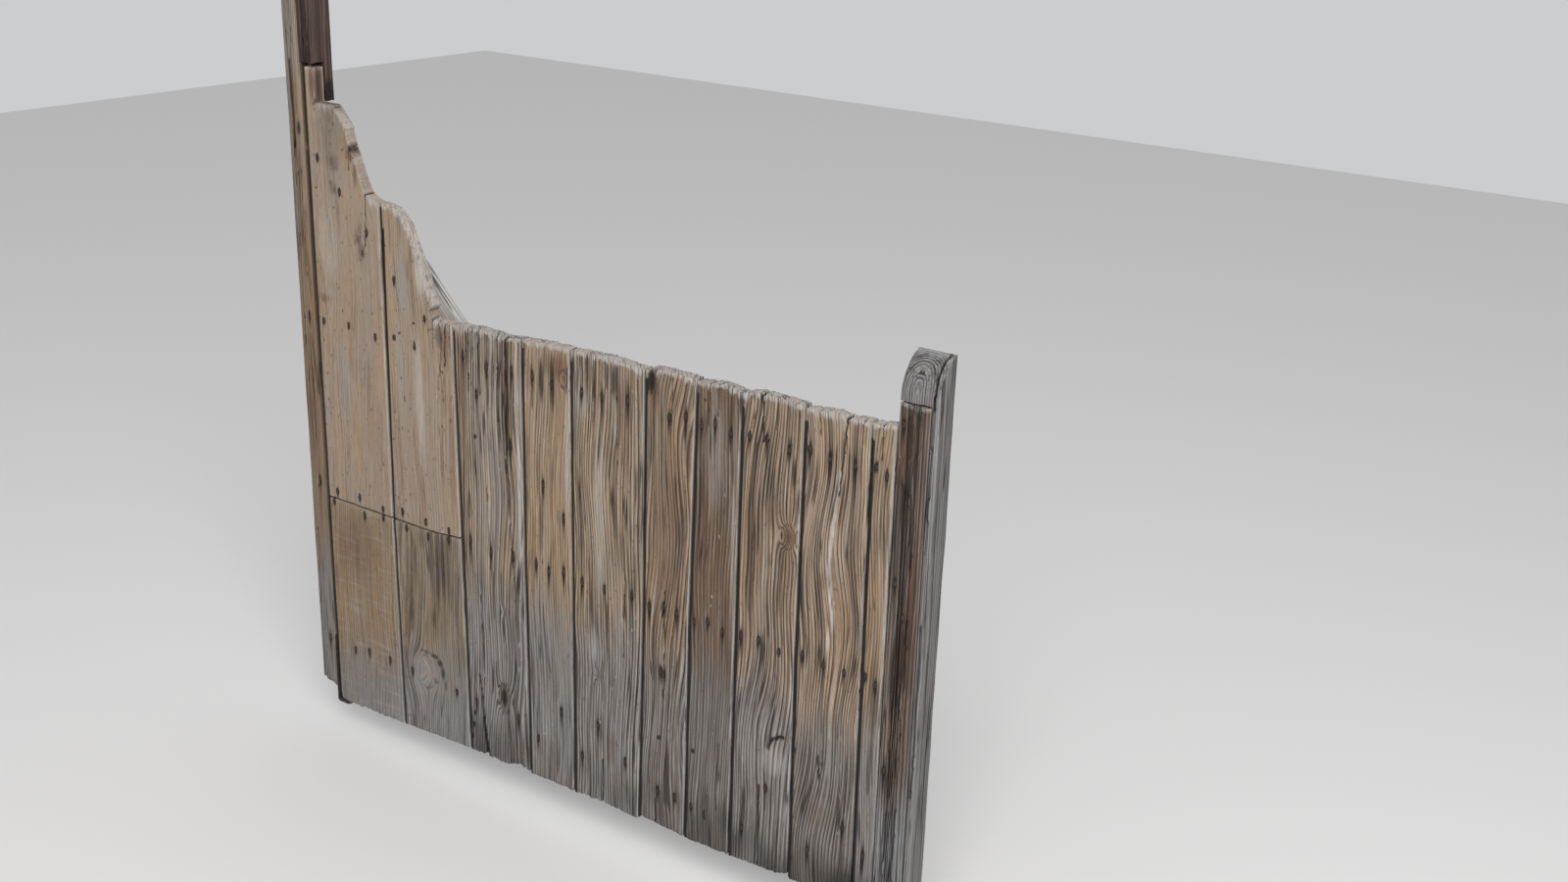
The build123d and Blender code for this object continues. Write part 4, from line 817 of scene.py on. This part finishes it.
hinge_stile = sliced_copy("hinge_stile", "inner_stile", INNER_STILE_CELLS)
weather(hinge_stile, 47.0, wear=1.2, head_rot=0.0, foot_rot=2.0, pith=(0.02, 0.05, 0.0, 0.0),
        bleach_ends=0.0, dirt=0.0)
finish_timber(hinge_stile, "leaf", "hinge_stile", frame_wood)

for index, node in enumerate(("brace_middle", "brace_lower")):
    brace = sliced_copy(node, node.replace("brace", "strut"), BRACE_CELLS)
    weather(brace, 51.0 + index, wear=1.2, pith=BRACE_PITH, bleach_sides=(0.0, 0.0), **SHELTERED)
    finish_timber(brace, "leaf", node, frame_wood)


# Head of the brace. It stands free in the notch beside the second board, where sun and rain have
# bleached it nearly white and split it along the grain.
BARE_BRACE_CELLS = (3 * MM, 6 * MM, 4 * MM)

bare_brace = sliced_copy("brace_upper", "strut_upper", BARE_BRACE_CELLS)
weather(bare_brace, 57.0, wear=0.6, pith=BRACE_PITH, bleach_sides=(0.0, 0.0), **SHELTERED)
brace_wood = timber("brace wood", (0.420, 0.400, 0.380), (0.090, 0.078, 0.068), (0.340, 0.328, 0.315),
                    (0.560, 0.550, 0.535), greying=0.6, ring_count=110, rings=0.8, hairs=1.0, seed=59.0)
finish_timber(bare_brace, "leaf", "brace_upper", brace_wood)


# Pegs. Split oak pins driven in from the back through the tenons and cut off nearly flush, their ends
# dark and a little burred.
PEG_BURR = 0.8 * MM
peg_wood = timber("peg wood", (0.120, 0.085, 0.055), (0.045, 0.030, 0.020), (0.120, 0.110, 0.100),
                  (0.250, 0.220, 0.190), greying=0.3, rings=0.6, streaks=0.8, seed=61.0)

pegs = merged_copy("tenon_pegs", "pegs")
burr = pegs.modifiers.new("burr", "BEVEL")
burr.width = PEG_BURR
burr.segments = 2
choose(pegs)
bpy.ops.object.modifier_apply(modifier="burr")
weather(pegs, 63.0, wear=0.3, relief=0.1, **SHELTERED)
finish_timber(pegs, "leaf", "tenon_pegs", peg_wood)


# Nails of the leaf, the jamb and the post. Hand-forged, with narrow four-sided heads driven just below
# the worn surface and rusted nearly black.
NAIL_WIDE = 5.2 * MM
NAIL_HIGH = 8.5 * MM
NAIL_PROUD = 0.05 * MM
NAIL_SUNK = 5 * MM
NAIL_SEAT = 1.8 * MM
NAIL_STEPS = ((1.3 * MM, 0.9 * MM), (0.7 * MM, 0.5 * MM))
NAIL_ARRIS = 0.35 * MM
NAIL_TURN = 0.25
NAIL_TILT = 0.12


def rusty_iron(name, light, dark, scale, relief_height):
    """Material of rusted forged iron."""
    material = bpy.data.materials.new(name)
    material.use_nodes = True
    nodes, links = material.node_tree.nodes, material.node_tree.links
    shader = nodes["Principled BSDF"]
    shader.inputs["Metallic"].default_value = 0.25
    place = nodes.new("ShaderNodeTexCoord")
    blotches = nodes.new("ShaderNodeTexNoise")
    blotches.inputs["Scale"].default_value = scale
    blotches.inputs["Detail"].default_value = 5.0
    blotches.inputs["Roughness"].default_value = 0.65
    links.new(place.outputs["Object"], blotches.inputs["Vector"])
    colours = nodes.new("ShaderNodeValToRGB")
    colours.color_ramp.elements[0].position = 0.38
    colours.color_ramp.elements[0].color = (*dark, 1.0)
    colours.color_ramp.elements[1].position = 0.64
    colours.color_ramp.elements[1].color = (*light, 1.0)
    links.new(blotches.outputs["Fac"], colours.inputs["Fac"])
    links.new(colours.outputs["Color"], shader.inputs["Base Color"])
    dullness = nodes.new("ShaderNodeMapRange")
    dullness.inputs["To Min"].default_value = 0.55
    dullness.inputs["To Max"].default_value = 0.9
    links.new(blotches.outputs["Fac"], dullness.inputs["Value"])
    links.new(dullness.outputs["Result"], shader.inputs["Roughness"])
    relief = nodes.new("ShaderNodeBump")
    relief.inputs["Strength"].default_value = BUMP_STRENGTH
    relief.inputs["Distance"].default_value = relief_height
    links.new(blotches.outputs["Fac"], relief.inputs["Height"])
    links.new(relief.outputs["Normal"], shader.inputs["Normal"])
    return material


nail_iron = rusty_iron("nail iron", (0.060, 0.034, 0.022), (0.012, 0.010, 0.009), 420.0, 0.4 * MM)
bpy.ops.object.select_all(action="DESELECT")
bpy.ops.mesh.primitive_cube_add(size=1)
pattern = bpy.context.object
pattern.name = "nail_pattern"
pattern.scale = (NAIL_WIDE, NAIL_SUNK, NAIL_HIGH)
bpy.ops.object.transform_apply(location=False, rotation=False, scale=True)
bpy.ops.object.mode_set(mode="EDIT")
bpy.ops.mesh.select_all(action="DESELECT")
bpy.ops.object.mode_set(mode="OBJECT")
for face in pattern.data.polygons:
    face.select = face.normal.y < -0.5
bpy.ops.object.mode_set(mode="EDIT")
for inward, outward in NAIL_STEPS:
    bpy.ops.mesh.inset(thickness=inward, depth=outward)
bpy.ops.mesh.select_all(action="SELECT")
bpy.ops.mesh.bevel(offset=NAIL_ARRIS, segments=1)
bpy.ops.object.mode_set(mode="OBJECT")


def forge_nails(node, body, seed):
    """A row of nails, each a copy of the pattern, turned and bent a little, as one piece."""
    chance = random.Random(seed)
    heads = []
    for spot in nail_places(node):
        head = bpy.data.objects.new("head", pattern.data.copy())
        scene.collection.objects.link(head)
        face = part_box(node)[0].y + NAIL_SEAT
        size = 0.85 + 0.3 * chance.random()
        turn = Matrix.Rotation(chance.uniform(-NAIL_TURN, NAIL_TURN), 4, "Y")
        tilt = Matrix.Rotation(chance.uniform(-NAIL_TILT, NAIL_TILT), 4, "X")
        place = Vector((spot.x, face + NAIL_SUNK / 2 - NAIL_PROUD, spot.y))
        stretch = Matrix.Diagonal((size, 1, size * 1.05, 1))
        head.data.transform(Matrix.Translation(place) @ (turn @ tilt) @ stretch)
        heads.append(head)
    choose(*heads)
    bpy.ops.object.join()
    row = bpy.context.object
    row.name = node.replace("nails", "nail_heads").replace("post_nail", "post_nail_head")
    bpy.ops.object.shade_smooth_by_angle(angle=SHARP)
    row.data.materials.clear()
    row.data.materials.append(nail_iron)
    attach(row, body)
    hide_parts(node)


LEAF_ROWS = ("top_rail_nails", "middle_rail_nails", "bottom_rail_nails", "brace_nails", "strip_nails")
for index, node in enumerate(LEAF_ROWS):
    forge_nails(node, "leaf", 71 + index)
for index, node in enumerate(("jamb_nails", "post_nail")):
    forge_nails(node, "frame", 81 + index)
bpy.data.objects.remove(pattern)


# Ironwork. The pivot pin, bracket, washer and screws, and on the back the bolt with its keepers, all
# forged by hand, dark with old rust, the bolt worn brighter where it slides.
forged_iron = rusty_iron("forged iron", (0.075, 0.048, 0.034), (0.022, 0.019, 0.018), 160.0, 0.6 * MM)
bolt_iron = rusty_iron("bolt iron", (0.110, 0.090, 0.078), (0.035, 0.031, 0.029), 120.0, 0.4 * MM)
EDGE_WEAR = 0.5 * MM
EDGE_SMOOTH = math.radians(35)
FORGED = (
    ("top_pivot_pin", "frame", forged_iron, "forged_iron"),
    ("foot_pivot_bracket", "frame", forged_iron, "forged_iron"),
    ("pivot_washer", "frame", forged_iron, "forged_iron"),
    ("bracket_screws", "frame", nail_iron, "nail_iron"),
    ("bolt_keepers", "leaf", forged_iron, "forged_iron"),
    ("keeper_nails", "leaf", nail_iron, "nail_iron"),
    ("sliding_bolt", "bolt", bolt_iron, "forged_iron"))

for node, body, material, slot in FORGED:
    iron = merged_copy(node, node.replace("_", "-"))
    edges = iron.modifiers.new("worn edges", "BEVEL")
    edges.width = EDGE_WEAR
    edges.segments = 2
    edges.limit_method = "ANGLE"
    choose(iron)
    bpy.ops.object.modifier_apply(modifier="worn edges")
    bpy.ops.object.shade_smooth_by_angle(angle=EDGE_SMOOTH)
    iron.data.materials.append(material)
    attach(iron, body)
    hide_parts(node)


# Pad under the bolt. A short block of the frame's wood on the back of the middle rail, its arrises
# chamfered, as little worn as the frame itself.
PAD_CELLS = (6 * MM, 4 * MM, 5 * MM)

pad = sliced_copy("bolt_pad", "pad", PAD_CELLS, long_axis=0)
weather(pad, 91.0, long_axis=0, **SHELTERED)
finish_timber(pad, "leaf", "bolt_pad", frame_wood)


# Floor and light. A pale floor a hand below the leaf, a bright even sky and one broad soft lamp from the
# front and the right.
FLOOR_DROP = 60 * MM
FLOOR_SIZE = 14.0
FLOOR_COLOUR = (0.72, 0.71, 0.70, 1)
SKY_COLOUR = (0.97, 0.98, 1.0, 1)
SKY_STRENGTH = 0.62
LAMP_POWER = 210.0
LAMP_SIZE = 3.0
LAMP_PLACE = Vector((3.2, -3.0, 3.4))
LAMP_AIM = Vector((0.6, 0, 0.4))

bpy.ops.object.select_all(action="DESELECT")
bpy.ops.mesh.primitive_plane_add(size=FLOOR_SIZE, location=(0.6, 0, cad_low.z - FLOOR_DROP))
floor = bpy.context.object
floor.name = "floor"
floor_finish = bpy.data.materials.new("pale floor")
floor_finish.use_nodes = True
floor_shader = floor_finish.node_tree.nodes["Principled BSDF"]
floor_shader.inputs["Base Color"].default_value = FLOOR_COLOUR
floor_shader.inputs["Roughness"].default_value = 0.9
floor.data.materials.append(floor_finish)

world = bpy.data.worlds.new("sky")
world.use_nodes = True
background = world.node_tree.nodes["Background"]
background.inputs["Color"].default_value = SKY_COLOUR
background.inputs["Strength"].default_value = SKY_STRENGTH
scene.world = world

lamp_data = bpy.data.lights.new("soft lamp", "AREA")
lamp_data.energy = LAMP_POWER
lamp_data.size = LAMP_SIZE
lamp = bpy.data.objects.new("soft lamp", lamp_data)
lamp.location = LAMP_PLACE
lamp.rotation_euler = (LAMP_AIM - LAMP_PLACE).to_track_quat("-Z", "Y").to_euler()
scene.collection.objects.link(lamp)
